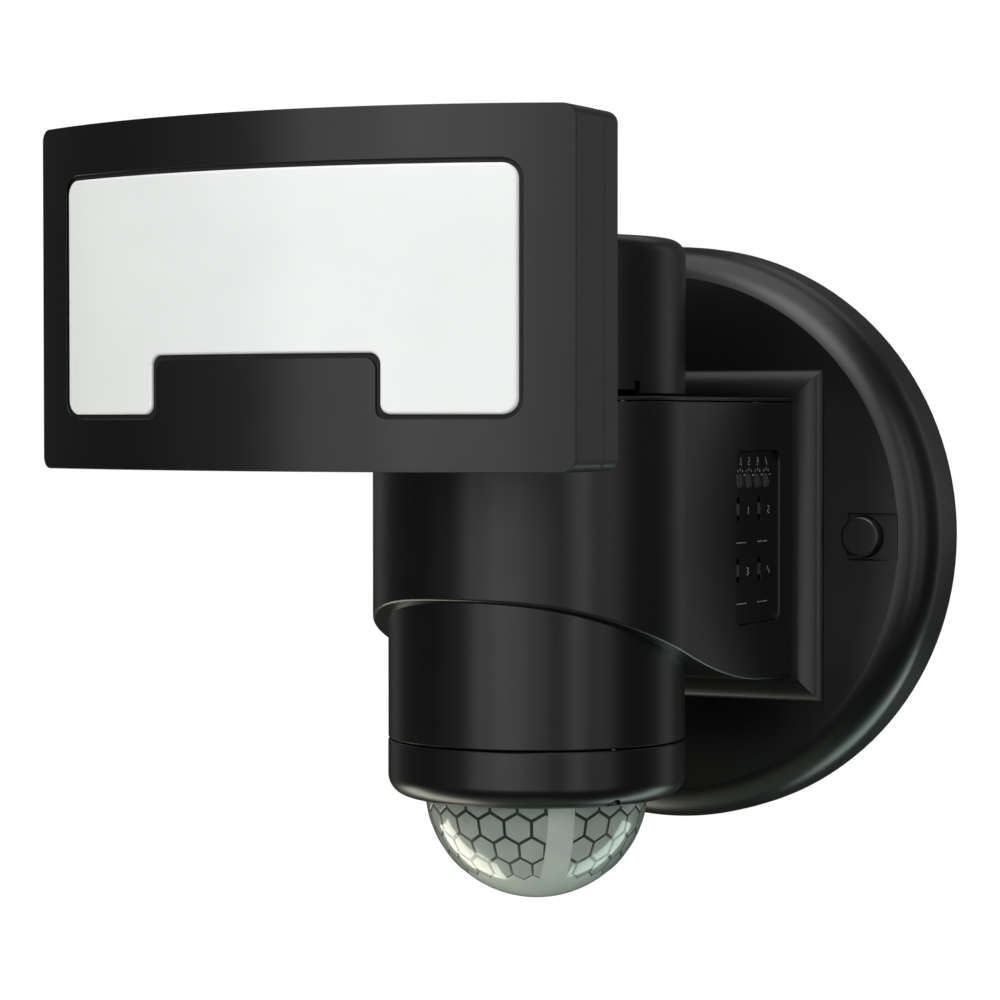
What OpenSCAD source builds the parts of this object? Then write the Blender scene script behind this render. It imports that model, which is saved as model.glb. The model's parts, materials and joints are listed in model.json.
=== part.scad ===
// Wall floodlight with a motion sensor: a round wall plate carries a wiring body, a sensor
// drum hangs under the body, and a motor turns the turret on top, which holds a curved lamp
// on a tilting knuckle. Millimetres, +Z up. The origin is the centre of the wall plate's
// back, +Y points into the wall, and the lamp looks along -Y.

/* [Wall plate] */
// Outer radius of the wall plate
plate_r = 88; // [86.8:0.1:90]
// Depth of the plate from the wall to its flat front
plate_depth = 25; // [24.5:0.1:25.5]
// Distance from the centre to each wall screw
wall_screw_x = 67; // [66:0.5:67.5]
// Radius of the two wall screw holes
wall_screw_r = 2.4; // [2:0.1:3]
// Radius of the cable's way in
cable_r = 4.5; // [3:0.5:5]

/* [Body] */
// Distance from the wall to the pan axis
axis_out = 105; // [104:0.5:106]
// Radius of the body's round front, which is also half its width
body_r = 46.3; // [46.2:0.1:46.6]
// Height of the body's top above the origin
body_top = 41; // [41:0.1:41.2]
// Thickness of the moulded walls
wall = 2.5; // [2.2:0.1:2.6]

/* [Sensor drum] */
// Outer radius of the drum, and of the turret above it
drum_r = 42; // [41.8:0.1:42]
// Height of the seam between the drum and its bezel
seam_z = -54.9; // [-55.5:0.1:-54.5]
// Height of the bezel's lower face
bezel_z = -71.2; // [-71.5:0.1:-70.9]
// Outer radius of the sensor's dome
dome_r = 31.7; // [31.5:0.1:31.9]

/* [Turret] */
// Height of the turret's top
turret_top = 85.2; // [84.5:0.1:86]

/* [Lamp] */
// Half the lamp's width
lamp_half_w = 76.65; // [76:0.05:77]
// Radius of the lamp's curved front
lamp_curve_r = 166.85; // [165:0.05:168]
// Distance from the pan axis to the middle of the lamp's front
lamp_out = 147.35; // [147:0.05:148]
// Height of the lamp's lower edge
lamp_z0 = 22.1; // [21.8:0.1:22.4]
// Height of the lamp's upper edge
lamp_z1 = 108.9; // [108.6:0.1:109.2]
// Thickness of the lamp from front to back
lamp_depth = 22.6; // [22.4:0.1:22.8]
// Height of the tilt axis
tilt_z = 62; // [61:0.5:63]
// Distance from the pan axis to the tilt axis
tilt_out = 56; // [55.8:0.1:56.2]

/* [Controls] */
// Radius of an adjuster knob
knob_r = 2.2; // [1.8:0.1:2.2]
// Length of a slide switch's travel
slide_travel = 3; // [2:0.5:3]

/* [Hidden] */
$fn = 96;
eps = 0.01;
fit_gap = 0.05;                       // radial clearance of a shaft that turns in its hole
seam_gap = 0.4;                       // narrow gap left where two mouldings meet

// Wall plate, measured outward from the wall
gasket_t = 2;
back_plate_t = 2;
rim_r = 12;                           // radius of the plate's rounded rim
rim_start = 12;                       // tilt of the rim where it meets the flat front, degrees
plate_wall = 3;
floor_d = plate_depth;
inner_floor_d = floor_d - plate_wall * cos(rim_start);
bevel_rise = 4;
bevel_x = 55;
bevel_z = 49.5;
bevel_in = 8.2;
root_d = floor_d + bevel_rise;        // distance from the wall to the body's root
cap_r = 6.1;
cap_proud = 2.3;
pocket_d = 1.2;
pocket_half_h = 6.7;
pocket_x0 = 62.5;
pocket_x1 = 77.9;
boss_floor_d = 17;                    // where a wall screw's head rests
cable_z = -30;
opening_x = 34;
opening_z = 30;
body_screw_x = 39;
body_screw_z = 35;

// Body, measured from the pan axis
root_y = axis_out - root_d;
cover_t = 1.4;
cover_z = body_top - cover_t;
wave_start = [-body_r, -14.4];
wave_lead = [-30, -16.2];
wave_sweep = [8, -38];
wave_end = [50, -41];
body_low_z = -42.2;
drum_top_z = -9;
dome_z = -69;                         // centre of the dome's sphere
board_z = -6.4;
board_t = 1.6;
panel_y0 = 35;
panel_y1 = 66.5;
panel_z0 = -24.5;
panel_z1 = 25.5;
panel_sink = 1;
panel_t = 1.2;
knob_y0 = 39.7;
knob_pitch = 6.3;
knob_z = 17;
slider_y = [38.6, 53.8];
slider_z = [8.8, -8.8];
control_board_x = 36;

// Turret and its drive
turret_z = 42.9;
base_z = 44;
base_t = 3;
spindle_r = 14;
spindle_bore_r = 9;
spindle_z = 17.6;
bush_r = 17;
bush_z = 30;
gear_module = 1;
gear_teeth = 48;
pinion_teeth = 16;
pressure_angle = 20;
tooth_lash = 0.12;
gear_z = 20.4;
gear_t = 6;
clip_z = 18.6;
clip_t = 1.2;
drive_y = gear_module * (gear_teeth + pinion_teeth) / 2 + 0.15;
motor_r = 14;
motor_z = 0;
motor_h = 15;
motor_shaft_r = 2.5;
stop_angle = 68;                      // where the turret's lower rim steps down, from the front

// Lamp
frame_depth = 15;
face_t = 2.6;
window_half_w = 64.8;
window_z0 = 35.3;
window_z1 = 95.6;
window_r = 4.3;
notch_half_w = 31.9;
notch_z = 49.9;
notch_r = 2.8;
lamp_mid_z = (lamp_z0 + lamp_z1) / 2;
lamp_h = lamp_z1 - lamp_z0;
curve_y = lamp_curve_r - lamp_out;    // centre of the lamp's curve, from the pan axis
case_d = frame_depth + seam_gap;
board_angles = [-15, 0, 15];
ear_gap = 13.5;
ear_t = 4;
ear_r = 9;
bolt_r = 4;
bracket_y = 46.4;
pod_half_w = 30;
pod_half_h = 22;
pod_y0 = 76;                          // the pod's face nearest the turret, from the pan axis
sink_half_w = 58;

// ---- shared helpers ----
module at_axis() { translate([0, -axis_out, 0]) children(); }

module at_tilt() { translate([0, -axis_out - tilt_out, tilt_z]) children(); }

// children's z runs outward from the wall and their y upward
module from_wall(d = 0) { rotate([90, 0, 0]) translate([0, 0, d]) children(); }

// children's x runs along +Y, their y upward and their z along +X
module side_profile() { rotate([90, 0, 90]) children(); }

module mirrored_x() {
  children();
  mirror([1, 0, 0]) children();
}

module ring(ro, ri, h) {
  difference() {
    cylinder(r = ro, h = h);
    translate([0, 0, -1]) cylinder(r = ri, h = h + 2);
  }
}

module rounded_rect(w, h, r) {
  square([w - 2 * r, h], center = true);
  square([w, h - 2 * r], center = true);
  for (sx = [-1, 1], sy = [-1, 1]) translate([sx * (w / 2 - r), sy * (h / 2 - r)]) circle(r = r, $fn = 32);
}

// a pan-head screw that points along -z, its head's underside at z = 0
module screw(shank_r, shank_l, head_r, head_h) {
  difference() {
    union() {
      cylinder(r = head_r, h = head_h, $fn = 32);
      translate([0, 0, -shank_l]) cylinder(r = shank_r, h = shank_l + eps, $fn = 32);
    }
    translate([-head_r * 0.7, -0.35, head_h * 0.5]) cube([head_r * 1.4, 0.7, head_h]);
    translate([-0.35, -head_r * 0.7, head_h * 0.5]) cube([0.7, head_r * 1.4, head_h]);
  }
}

function bezier(p0, p1, p2, p3, t) =
  pow(1 - t, 3) * p0 + 3 * t * pow(1 - t, 2) * p1 + 3 * t * t * (1 - t) * p2 + pow(t, 3) * p3;

function arc(cx, cy, r, a0, a1, n) =
  [for (i = [0:n]) let(a = a0 + (a1 - a0) * i / n) [cx + r * cos(a), cy + r * sin(a)]];

// ---- wall plate ----
// outline of the plate's section: radius against distance from the wall, moved in by t
function plate_section(t) = concat(
  [[0, gasket_t - (t > 0 ? 1 : 0)], [plate_r - t, gasket_t - (t > 0 ? 1 : 0)]],
  arc(plate_r - rim_r - 0.2, floor_d - rim_r * cos(rim_start), rim_r - t, 0, 90 - rim_start, 12),
  [[0, floor_d - t * cos(rim_start)]]);

// the raised frame round the body's root, with four sloping faces
module bevel() {
  intersection() {
    rotate([0, 90, 0]) translate([0, 0, -bevel_x]) linear_extrude(2 * bevel_x)
      polygon([[-root_d, bevel_in - bevel_z], [-floor_d + 1, -bevel_z], [-floor_d + 1, bevel_z],
        [-root_d, bevel_z - bevel_in]]);
    rotate([90, 0, 0]) translate([0, 0, -bevel_z]) linear_extrude(2 * bevel_z)
      polygon([[bevel_in - bevel_x, root_d], [-bevel_x, floor_d - 1], [bevel_x, floor_d - 1],
        [bevel_x - bevel_in, root_d]]);
  }
}

module wall_plate() {
  color([0.12, 0.12, 0.125]) from_wall() difference() {
    union() {
      difference() {
        rotate_extrude($fn = 160) polygon(plate_section(0));
        rotate_extrude($fn = 160) polygon(plate_section(plate_wall));
      }
      bevel();
      mirrored_x() translate([wall_screw_x, 0, gasket_t]) cylinder(r = cap_r + 2, h = floor_d - gasket_t - 1);
      for (a = [45:90:315]) rotate(a) translate([74, 0, gasket_t]) cylinder(r = 4, h = floor_d - gasket_t - 1);
    }
    translate([-opening_x, -opening_z, 0]) cube([2 * opening_x, 2 * opening_z, root_d + 1]);
    mirrored_x() translate([wall_screw_x, 0, 0]) cylinder(r = wall_screw_r, h = floor_d + 1);
    mirrored_x() translate([wall_screw_x, 0, boss_floor_d]) cylinder(r = cap_r, h = floor_d);
    mirrored_x() translate([pocket_x0, -pocket_half_h, floor_d - pocket_d])
      cube([pocket_x1 - pocket_x0, 2 * pocket_half_h, 5]);
    for (a = [45:90:315]) rotate(a) translate([74, 0, 0]) cylinder(r = 1.5, h = 14, $fn = 32);
    mirrored_x() for (s = [-1, 1]) translate([body_screw_x, s * body_screw_z, floor_d - plate_wall - 1])
      cylinder(r = 2.1, h = 20, $fn = 32);
  }
}

module wall_gasket() {
  color([0.06, 0.06, 0.06]) from_wall() ring(plate_r - 0.4, plate_r - 5, gasket_t);
}

module back_plate() {
  color([0.7, 0.71, 0.72]) from_wall() difference() {
    cylinder(r = plate_r - 5.4, h = back_plate_t);
    mirrored_x() translate([wall_screw_x, 0, -1]) cylinder(r = wall_screw_r, h = back_plate_t + 2);
    translate([0, cable_z, -1]) cylinder(r = 10, h = back_plate_t + 2);
    for (a = [45:90:315]) rotate(a) translate([74, 0, -1]) cylinder(r = 1.6, h = back_plate_t + 2, $fn = 32);
  }
}

module back_plate_screws() {
  color([0.75, 0.75, 0.76]) for (a = [45:90:315]) from_wall() rotate(a) translate([74, 0, 0.9])
    mirror([0, 0, 1]) screw(1.45, 8, 1.59, 0.9);
}

module screw_cap() {
  color([0.12, 0.12, 0.125]) from_wall(boss_floor_d + 3.8) difference() {
    cylinder(r = cap_r, h = floor_d + cap_proud - boss_floor_d - 3.8);
    translate([0, 0, -1]) cylinder(r = cap_r - 1.6, h = 5);
  }
}

module screw_cap_left() { translate([-wall_screw_x, 0, 0]) screw_cap(); }

module screw_cap_right() { translate([wall_screw_x, 0, 0]) screw_cap(); }

module cable_grommet() {
  color([0.05, 0.05, 0.05]) translate([0, 0, cable_z]) from_wall() rotate_extrude()
    polygon([[cable_r, 0], [10, 0], [10, back_plate_t], [13, back_plate_t], [13, back_plate_t + 2],
      [8, back_plate_t + 2], [6.5, 8], [cable_r, 8]]);
}

module terminal_block() {
  color([0.85, 0.85, 0.82]) from_wall(back_plate_t) difference() {
    translate([-16, 2, 0]) cube([32, 20, 15]);
    for (x = [-10, 0, 10]) translate([x, 12, 4]) cylinder(r = 2.5, h = 20, $fn = 32);
    for (x = [-10, 0, 10]) translate([x, -1, 5]) rotate([-90, 0, 0]) cylinder(r = 1.6, h = 30, $fn = 32);
  }
}

module terminal_screws() {
  color([0.8, 0.7, 0.4]) for (x = [-10, 0, 10]) from_wall(back_plate_t + 9) translate([x, 12, 0])
    screw(1.4, 1.5, 2.4, 1.6);
}

module earth_screw() {
  color([0.8, 0.7, 0.4]) from_wall(back_plate_t) translate([28, 12, 4]) screw(1.6, 4, 3.4, 2);
}

module body_screws() {
  color([0.7, 0.7, 0.72]) mirrored_x() for (s = [-1, 1]) translate([body_screw_x, 0, s * body_screw_z])
    from_wall(inner_floor_d) mirror([0, 0, 1]) screw(1.9, 14, 3.6, 2.4);
}

// ---- body ----
// plan of the body: a half round about the pan axis and straight sides back to the wall plate
module body_plan(inset, back) {
  circle(r = body_r - inset);
  translate([inset - body_r, 0]) square([2 * (body_r - inset), back]);
}

// everything under the body's swept lower edge, as a side view
module below_wave(lift = 0) {
  side_profile() translate([0, lift, -60]) linear_extrude(120)
    polygon(concat([[-60, -70], [-60, wave_start[1]]],
      [for (i = [0:20]) bezier(wave_start, wave_lead, wave_sweep, wave_end, i / 20)],
      [[root_y, body_low_z], [root_y + 5, body_low_z], [root_y + 5, -70]]));
}

module knob_place(i) { translate([0, knob_y0 + i * knob_pitch, knob_z]) rotate([0, 90, 0]) children(); }

module slider_place(i) { translate([0, slider_y[i % 2], slider_z[i < 2 ? 0 : 1]]) children(); }

module panel_block(x0, x1, inset) {
  translate([x0, (panel_y0 + panel_y1) / 2, (panel_z0 + panel_z1) / 2]) rotate([90, 0, 90])
    linear_extrude(x1 - x0)
      rounded_rect(panel_y1 - panel_y0 - 2 * inset, panel_z1 - panel_z0 - 2 * inset, 3);
}

// the four screws that hold the cover: two by the round front and two near the root
module cover_screw_places() {
  mirrored_x() {
    translate([36, -20, 0]) children();
    translate([40, 62, 0]) children();
  }
}

// the four screws that hold the body to the plate; children's z runs towards the wall
module root_screw_places(y) {
  mirrored_x() for (s = [-1, 1]) translate([body_screw_x, y, s * body_screw_z]) rotate([-90, 0, 0]) children();
}

module body_shell() {
  color([0.12, 0.12, 0.125]) at_axis() difference() {
    translate([0, 0, body_low_z]) linear_extrude(cover_z - body_low_z) body_plan(0, root_y);
    difference() {
      translate([0, 0, body_low_z + wall]) linear_extrude(100) body_plan(wall, root_y - wall);
      root_screw_places(root_y - 18) cylinder(r = 4, h = 20);
      cover_screw_places() translate([0, 0, cover_z - 12]) cylinder(r = 3.4, h = 12);
      below_wave(wall);
    }
    below_wave();
    translate([0, 0, -60]) cylinder(r = drum_r, h = 60 + drum_top_z);
    translate([-opening_x, root_y - 5, -opening_z]) cube([2 * opening_x, 10, 2 * opening_z]);
    root_screw_places(root_y - 12) cylinder(r = 1.9, h = 14, $fn = 32);
    cover_screw_places() translate([0, 0, cover_z - 9]) cylinder(r = 1.4, h = 12, $fn = 32);
    panel_block(body_r - panel_sink - panel_t, body_r + 1, 0);
    panel_block(body_r - 10, body_r + 1, 2.5);
  }
}

module body_cover() {
  color([0.12, 0.12, 0.125]) at_axis() difference() {
    union() {
      translate([0, 0, cover_z]) linear_extrude(cover_t) body_plan(0.2, root_y - 0.2);
      translate([0, 0, bush_z]) cylinder(r = bush_r + 3, h = cover_z - bush_z + eps);
      for (a = [0:60:300]) rotate(a + 30) translate([bush_r, -1.2, cover_z - 4]) cube([12, 2.4, 4 + eps]);
    }
    translate([0, 0, bush_z - 1]) cylinder(r = bush_r, h = 30);
    cover_screw_places() translate([0, 0, cover_z - 1]) cylinder(r = 1.6, h = 5, $fn = 32);
    cover_screw_places() translate([0, 0, body_top - 0.9]) cylinder(r = 2.7, h = 5, $fn = 32);
  }
}

module cover_screws() {
  color([0.2, 0.2, 0.2]) at_axis() cover_screw_places() translate([0, 0, body_top - 0.9])
    screw(1.4, 9, 2.6, 0.8);
}

module turret_bush() {
  color([0.9, 0.9, 0.86]) at_axis() rotate_extrude()
    polygon([[spindle_r + fit_gap, bush_z], [bush_r, bush_z], [bush_r, body_top], [bush_r + 5, body_top],
      [bush_r + 5, base_z - 0.1], [spindle_r + fit_gap, base_z - 0.1]]);
}

// ---- gear drive ----
function involute(a) = tan(a) * 180 / PI - a;

function pitch_r(teeth) = gear_module * teeth / 2;

// half the angle that a tooth takes up at radius r
function half_tooth(teeth, r) =
  let(rp = pitch_r(teeth), rb = rp * cos(pressure_angle), a = acos(min(1, rb / r)))
  (PI * gear_module / 2 - tooth_lash) / 2 / rp * 180 / PI + involute(pressure_angle) - involute(a);

function flank_radii(teeth) =
  let(rp = pitch_r(teeth), root = rp - 1.25 * gear_module, r0 = max(root, rp * cos(pressure_angle)),
    r1 = rp + 0.95 * gear_module)
  [root, r0 + 0.02, r0 + (r1 - r0) * 0.3, r0 + (r1 - r0) * 0.65, r1];

function tooth_points(teeth, mid) =
  let(rs = flank_radii(teeth))
  concat(
    [for (i = [0:4]) let(a = mid - half_tooth(teeth, max(rs[i], rs[1]))) rs[i] * [cos(a), sin(a)]],
    [for (i = [4:-1:0]) let(a = mid + half_tooth(teeth, max(rs[i], rs[1]))) rs[i] * [cos(a), sin(a)]]);

module spur_gear(teeth, phase, h) {
  linear_extrude(h) polygon([for (k = [0:teeth - 1]) for (p = tooth_points(teeth, k * 360 / teeth + phase)) p]);
}

module pan_motor() {
  color([0.75, 0.76, 0.77]) at_axis() translate([0, drive_y, motor_z]) difference() {
    union() {
      cylinder(r = motor_r, h = motor_h);
      translate([0, 0, motor_h - eps]) cylinder(r = 4.5, h = 1.5);
      translate([-17.5, -3.5, motor_h - 1]) cube([35, 7, 1]);
      translate([-17.5, 0, motor_h - 1]) cylinder(r = 3.5, h = 1);
      translate([17.5, 0, motor_h - 1]) cylinder(r = 3.5, h = 1);
    }
    translate([0, 0, 4]) cylinder(r = motor_shaft_r + fit_gap, h = 20);
    mirrored_x() translate([17.5, 0, 0]) cylinder(r = 1.6, h = 20, $fn = 32);
  }
}

module motor_bracket() {
  color([0.8, 0.81, 0.82]) at_axis() translate([0, drive_y, motor_z + motor_h]) difference() {
    union() {
      translate([-24, -6, 0]) cube([48, 18, 1.6]);
      mirrored_x() translate([21, 8, 0]) cylinder(r = 3, h = cover_z - motor_z - motor_h);
    }
    translate([0, 0, -1]) cylinder(r = 4.6, h = 5);
    mirrored_x() translate([17.5, 0, -1]) cylinder(r = 1.6, h = 5, $fn = 32);
  }
}

module motor_screws() {
  color([0.6, 0.6, 0.62]) at_axis() translate([0, drive_y, motor_z + motor_h + 1.6]) mirrored_x()
    translate([17.5, 0, 0]) screw(1.5, 3.6, 2.6, 1.4);
}

module motor_pinion() {
  color([0.92, 0.92, 0.9]) at_axis() translate([0, drive_y, 0]) {
    translate([0, 0, gear_z]) spur_gear(pinion_teeth, 180 / pinion_teeth, gear_t);
    translate([0, 0, 4.5]) cylinder(r = motor_shaft_r, h = gear_z - 4.5 + eps);
  }
}

// ---- electronics in the body ----
module main_board() {
  color([0.1, 0.35, 0.18]) at_axis() difference() {
    translate([-30, -30, board_z]) cube([60, 96, board_t]);
    mirrored_x() for (y = [-26, 62]) translate([26, y, board_z - 1]) cylinder(r = 1.6, h = 5, $fn = 32);
  }
}

module board_spacers() {
  color([0.8, 0.7, 0.4]) at_axis() mirrored_x() for (y = [-26, 62]) translate([26, y, board_z + board_t])
    cylinder(r = 2.9, h = cover_z - board_z - board_t, $fn = 6);
}

module board_parts() {
  at_axis() translate([0, 0, board_z + board_t]) {
    color([0.85, 0.75, 0.2]) translate([-13, 50, 0]) cube([26, 14, 20]);
    color([0.15, 0.3, 0.7]) translate([-18, -16, 0]) cube([15, 19, 15]);
    color([0.1, 0.1, 0.12]) translate([10, -12, 0]) cylinder(r = 5, h = 16);
    color([0.1, 0.1, 0.12]) translate([21, -8, 0]) cylinder(r = 4, h = 12);
    color([0.08, 0.08, 0.08]) translate([4, 2, 0]) cube([14, 8, 3]);
    color([0.92, 0.92, 0.9]) translate([-28, 20, 0]) cube([8, 16, 9]);
  }
}

module control_board() {
  color([0.1, 0.35, 0.18]) at_axis() translate([control_board_x - board_t, panel_y0 + 1, panel_z0 + 2])
    cube([board_t, panel_y1 - panel_y0 - 4, panel_z1 - panel_z0 - 4]);
}

// trimmer and switch bodies on the control board
module control_parts() {
  color([0.2, 0.3, 0.6]) at_axis() {
    for (i = [0:3]) difference() {
      knob_place(i) translate([-2.8, -2.8, control_board_x]) cube([5.6, 5.6, 4]);
      knob_place(i) translate([0, 0, control_board_x + 1]) cylinder(r = 1.2 + fit_gap, h = 10, $fn = 48);
    }
    for (i = [0:3]) slider_place(i) difference() {
      translate([control_board_x, -2.4, -4.6]) cube([4, 4.8, 9.2]);
      translate([control_board_x + 2, -1.15, -3.5]) cube([5, 2.3, 7]);
    }
  }
}

module control_panel() {
  color([0.1, 0.1, 0.105]) at_axis() difference() {
    panel_block(body_r - panel_sink - panel_t, body_r - panel_sink, 0.1);
    for (i = [0:3]) knob_place(i) cylinder(r = knob_r + 0.3, h = 60, $fn = 48);
    for (i = [0:3]) slider_place(i) translate([0, -1.2, -3.4]) cube([60, 2.4, 6.8]);
  }
}

module knob(i) {
  color([0.8, 0.8, 0.8]) at_axis() knob_place(i) difference() {
    union() {
      translate([0, 0, control_board_x + 4.2]) cylinder(r = knob_r, h = 4.9, $fn = 48);
      translate([0, 0, control_board_x + 1.4]) cylinder(r = 1.2, h = 3, $fn = 48);
    }
    translate([-knob_r, -0.3, control_board_x + 8.3]) cube([2 * knob_r, 0.6, 2]);
  }
}

module knob_1() { knob(0); }

module knob_2() { knob(1); }

module knob_3() { knob(2); }

module knob_4() { knob(3); }

module slider(i) {
  reach = (6.4 - slide_travel) / 2;
  color([0.8, 0.8, 0.8]) at_axis() slider_place(i)
    translate([control_board_x + 2.2, -1, -reach]) cube([6.9, 2, 2 * reach]);
}

module slider_1() { slider(0); }

module slider_2() { slider(1); }

module slider_3() { slider(2); }

module slider_4() { slider(3); }

// ---- sensor drum ----
module drum_shell() {
  color([0.12, 0.12, 0.125]) at_axis() difference() {
    translate([0, 0, seam_z]) cylinder(r = drum_r - 0.05, h = drum_top_z - seam_z);
    translate([0, 0, seam_z + 3]) cylinder(r = drum_r - wall, h = 60);
    translate([0, 0, seam_z - 1]) cylinder(r = 36, h = 10);
    for (a = [0:120:240]) rotate(a) translate([0, 38.6, seam_z - 1]) cylinder(r = 1, h = 10, $fn = 32);
  }
}

module drum_bezel() {
  edge = 6;
  color([0.12, 0.12, 0.125]) at_axis() difference() {
    rotate_extrude() polygon(concat(
      [[31.9, bezel_z], [drum_r - edge, bezel_z]],
      arc(drum_r - edge, bezel_z + edge, edge, -90, 0, 8),
      [[drum_r, seam_z - seam_gap], [36, seam_z - seam_gap], [36, dome_z + 3.2],
      [31.9, dome_z + 1.5]]));
    for (a = [0:120:240]) rotate(a) translate([0, 38.6, bezel_z + 2]) cylinder(r = 1.2, h = 20, $fn = 32);
    for (a = [0:120:240]) rotate(a) translate([0, 38.6, bezel_z - 1]) cylinder(r = 2.1, h = 7, $fn = 32);
  }
}

module bezel_screws() {
  color([0.5, 0.5, 0.52]) at_axis() for (a = [0:120:240]) rotate(a) translate([0, 38.6, bezel_z + 6])
    mirror([0, 0, 1]) screw(0.95, 13.2, 2, 1.2);
}

module dome_lens() {
  dome_t = 1.2;
  color([0.75, 0.8, 0.75]) at_axis() {
    difference() {
      translate([0, 0, dome_z]) sphere(r = dome_r);
      translate([0, 0, dome_z]) sphere(r = dome_r - dome_t);
      translate([0, 0, dome_z + 2]) cylinder(r = 60, h = 60);
    }
    translate([0, 0, dome_z + 1.6]) difference() {
      cylinder(r1 = dome_r, r2 = 35.4, h = 1.6);
      translate([0, 0, -1]) cylinder(r = 30.2, h = 4);
    }
  }
}

module dome_seal() {
  color([0.05, 0.05, 0.05]) at_axis() translate([0, 0, dome_z + 3.2]) ring(35.4, 31, 1.2);
}

module sensor_board() {
  color([0.1, 0.35, 0.18]) at_axis() difference() {
    translate([0, 0, dome_z + 4.4]) cylinder(r = 34.5, h = board_t);
    translate([0, 0, dome_z + 4]) cylinder(r = 3, h = 5, $fn = 32);
  }
}

// three can-shaped heat sensors, each looking outward and down through its own lens panel
module heat_sensors() {
  color([0.8, 0.79, 0.74]) at_axis() for (a = [0, 120, 240]) rotate(a) translate([0, -13, dome_z + 0.4]) {
    rotate([-35, 0, 0]) mirror([0, 0, 1]) {
      translate([0, 0, 1.2]) cylinder(r = 4.6, h = 4.2);
      cylinder(r = 5, h = 1.2 + eps);
    }
    translate([0, 0, -1]) cylinder(r = 1.4, h = 5, $fn = 32);
  }
}

module daylight_sensor() {
  color([0.8, 0.5, 0.3]) at_axis() translate([0, 0, dome_z + 1.4]) cylinder(r = 2.5, h = 3);
}

// ---- turret ----
module turret_shell() {
  edge = 4.8;
  top_t = 2.5;
  color([0.12, 0.12, 0.125]) at_axis() difference() {
    rotate_extrude() polygon(concat(
      [[0, turret_z - 1.3], [drum_r, turret_z - 1.3]],
      arc(drum_r - edge, turret_top - edge, edge, 0, 90, 8),
      [[0, turret_top]]));
    rotate_extrude() polygon(concat(
      [[0, 0], [drum_r - wall, 0]],
      arc(drum_r - edge, turret_top - edge, edge - top_t, 0, 90, 8),
      [[0, turret_top - top_t]]));
    rotate([0, 0, -90 - stop_angle]) rotate_extrude(angle = 2 * stop_angle) translate([30, turret_z - 2])
      square([20, 2]);
    mirrored_x() rotate([0, 0, stop_angle - 90]) translate([35, -0.9, turret_z - 2]) cube([10, 1.8, 4.4]);
    for (x = [-11, 11]) translate([x, -30, tilt_z + 16]) rotate([90, 0, 0]) cylinder(r = 1.7, h = 20, $fn = 32);
  }
}

module turret_base() {
  color([0.12, 0.12, 0.125]) at_axis() difference() {
    union() {
      translate([0, 0, base_z]) cylinder(r = drum_r - wall, h = base_t);
      translate([0, 0, spindle_z]) cylinder(r = spindle_r, h = base_z - spindle_z + eps);
      for (a = [60, 180, 300]) rotate(a) translate([0, 33, base_z])
        cylinder(r = 3.5, h = turret_top - base_z - 3.2);
    }
    translate([0, 0, spindle_z - 1]) cylinder(r = spindle_bore_r, h = 60);
    translate([0, 0, clip_z]) ring(spindle_r + 1, spindle_r - 1.2, clip_t);
    for (a = [60, 180, 300]) rotate(a) translate([0, 33, base_z - 1]) cylinder(r = 1.6, h = 12, $fn = 32);
    for (a = [60, 180, 300]) rotate(a) translate([0, 33, base_z - 1]) cylinder(r = 3.1, h = 2.2, $fn = 32);
  }
}

module turret_gear() {
  color([0.92, 0.92, 0.9]) at_axis() translate([0, 0, gear_z]) difference() {
    spur_gear(gear_teeth, 0, gear_t);
    translate([0, 0, -1]) cylinder(r = spindle_r, h = gear_t + 2);
  }
}

module spindle_clip() {
  color([0.6, 0.61, 0.63]) at_axis() translate([0, 0, clip_z]) difference() {
    ring(spindle_r + 3, spindle_r - 1.2, clip_t);
    translate([-2.5, -30, -1]) cube([5, 25, clip_t + 2]);
  }
}

module turret_screws() {
  color([0.7, 0.7, 0.72]) at_axis() for (a = [60, 180, 300]) rotate(a) translate([0, 33, base_z + 1.2])
    mirror([0, 0, 1]) screw(1.6, 9, 2.9, 1.1);
}

// fork that carries the lamp: a saddle on the turret's wall and two ears round the tilt axis
module tilt_bracket() {
  color([0.12, 0.12, 0.125]) difference() {
    union() {
      intersection() {
        at_axis() ring_sector();
        at_tilt() translate([-26, 0, -14]) cube([52, 40, 38]);
      }
      mirrored_x() at_tilt() translate([ear_gap, 0, 0]) rotate([0, 90, 0]) cylinder(r = ear_r, h = ear_t);
      mirrored_x() at_tilt() translate([ear_gap, 0, -ear_r]) cube([ear_t, tilt_out - 39.5, 2 * ear_r]);
    }
    at_axis() translate([0, 0, 30]) cylinder(r = drum_r, h = 80);
    at_tilt() rotate([0, 90, 0]) translate([0, 0, -30]) cylinder(r = bolt_r, h = 60);
    for (x = [-11, 11]) at_axis() translate([x, -30, tilt_z + 16]) rotate([90, 0, 0])
      cylinder(r = 1.4, h = 30, $fn = 32);
  }
}

module ring_sector() { translate([0, 0, 30]) ring(bracket_y, drum_r, 80); }

module tilt_bolt() {
  color([0.6, 0.61, 0.63]) at_tilt() rotate([0, 90, 0]) {
    translate([0, 0, -ear_gap - ear_t]) cylinder(r = bolt_r, h = 2 * (ear_gap + ear_t) + 6);
    translate([0, 0, -ear_gap - ear_t - 3.2]) cylinder(r = 7, h = 3.2 + eps);
  }
}

module clamp_knob() {
  color([0.12, 0.12, 0.125]) at_tilt() rotate([0, 90, 0]) translate([0, 0, ear_gap + ear_t + 0.1])
  difference() {
    union() {
      cylinder(r = 7.6, h = 7.5);
      for (a = [0:45:315]) rotate(a) translate([7.2, 0, 0]) cylinder(r = 1.6, h = 7.5, $fn = 24);
    }
    translate([0, 0, -1]) cylinder(r = bolt_r + fit_gap, h = 7.2);
  }
}

module friction_washers() {
  color([0.85, 0.82, 0.7]) mirrored_x() at_tilt() rotate([0, 90, 0]) translate([0, 0, ear_gap - 1])
    ring(8, bolt_r + 0.3, 1);
}

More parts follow.
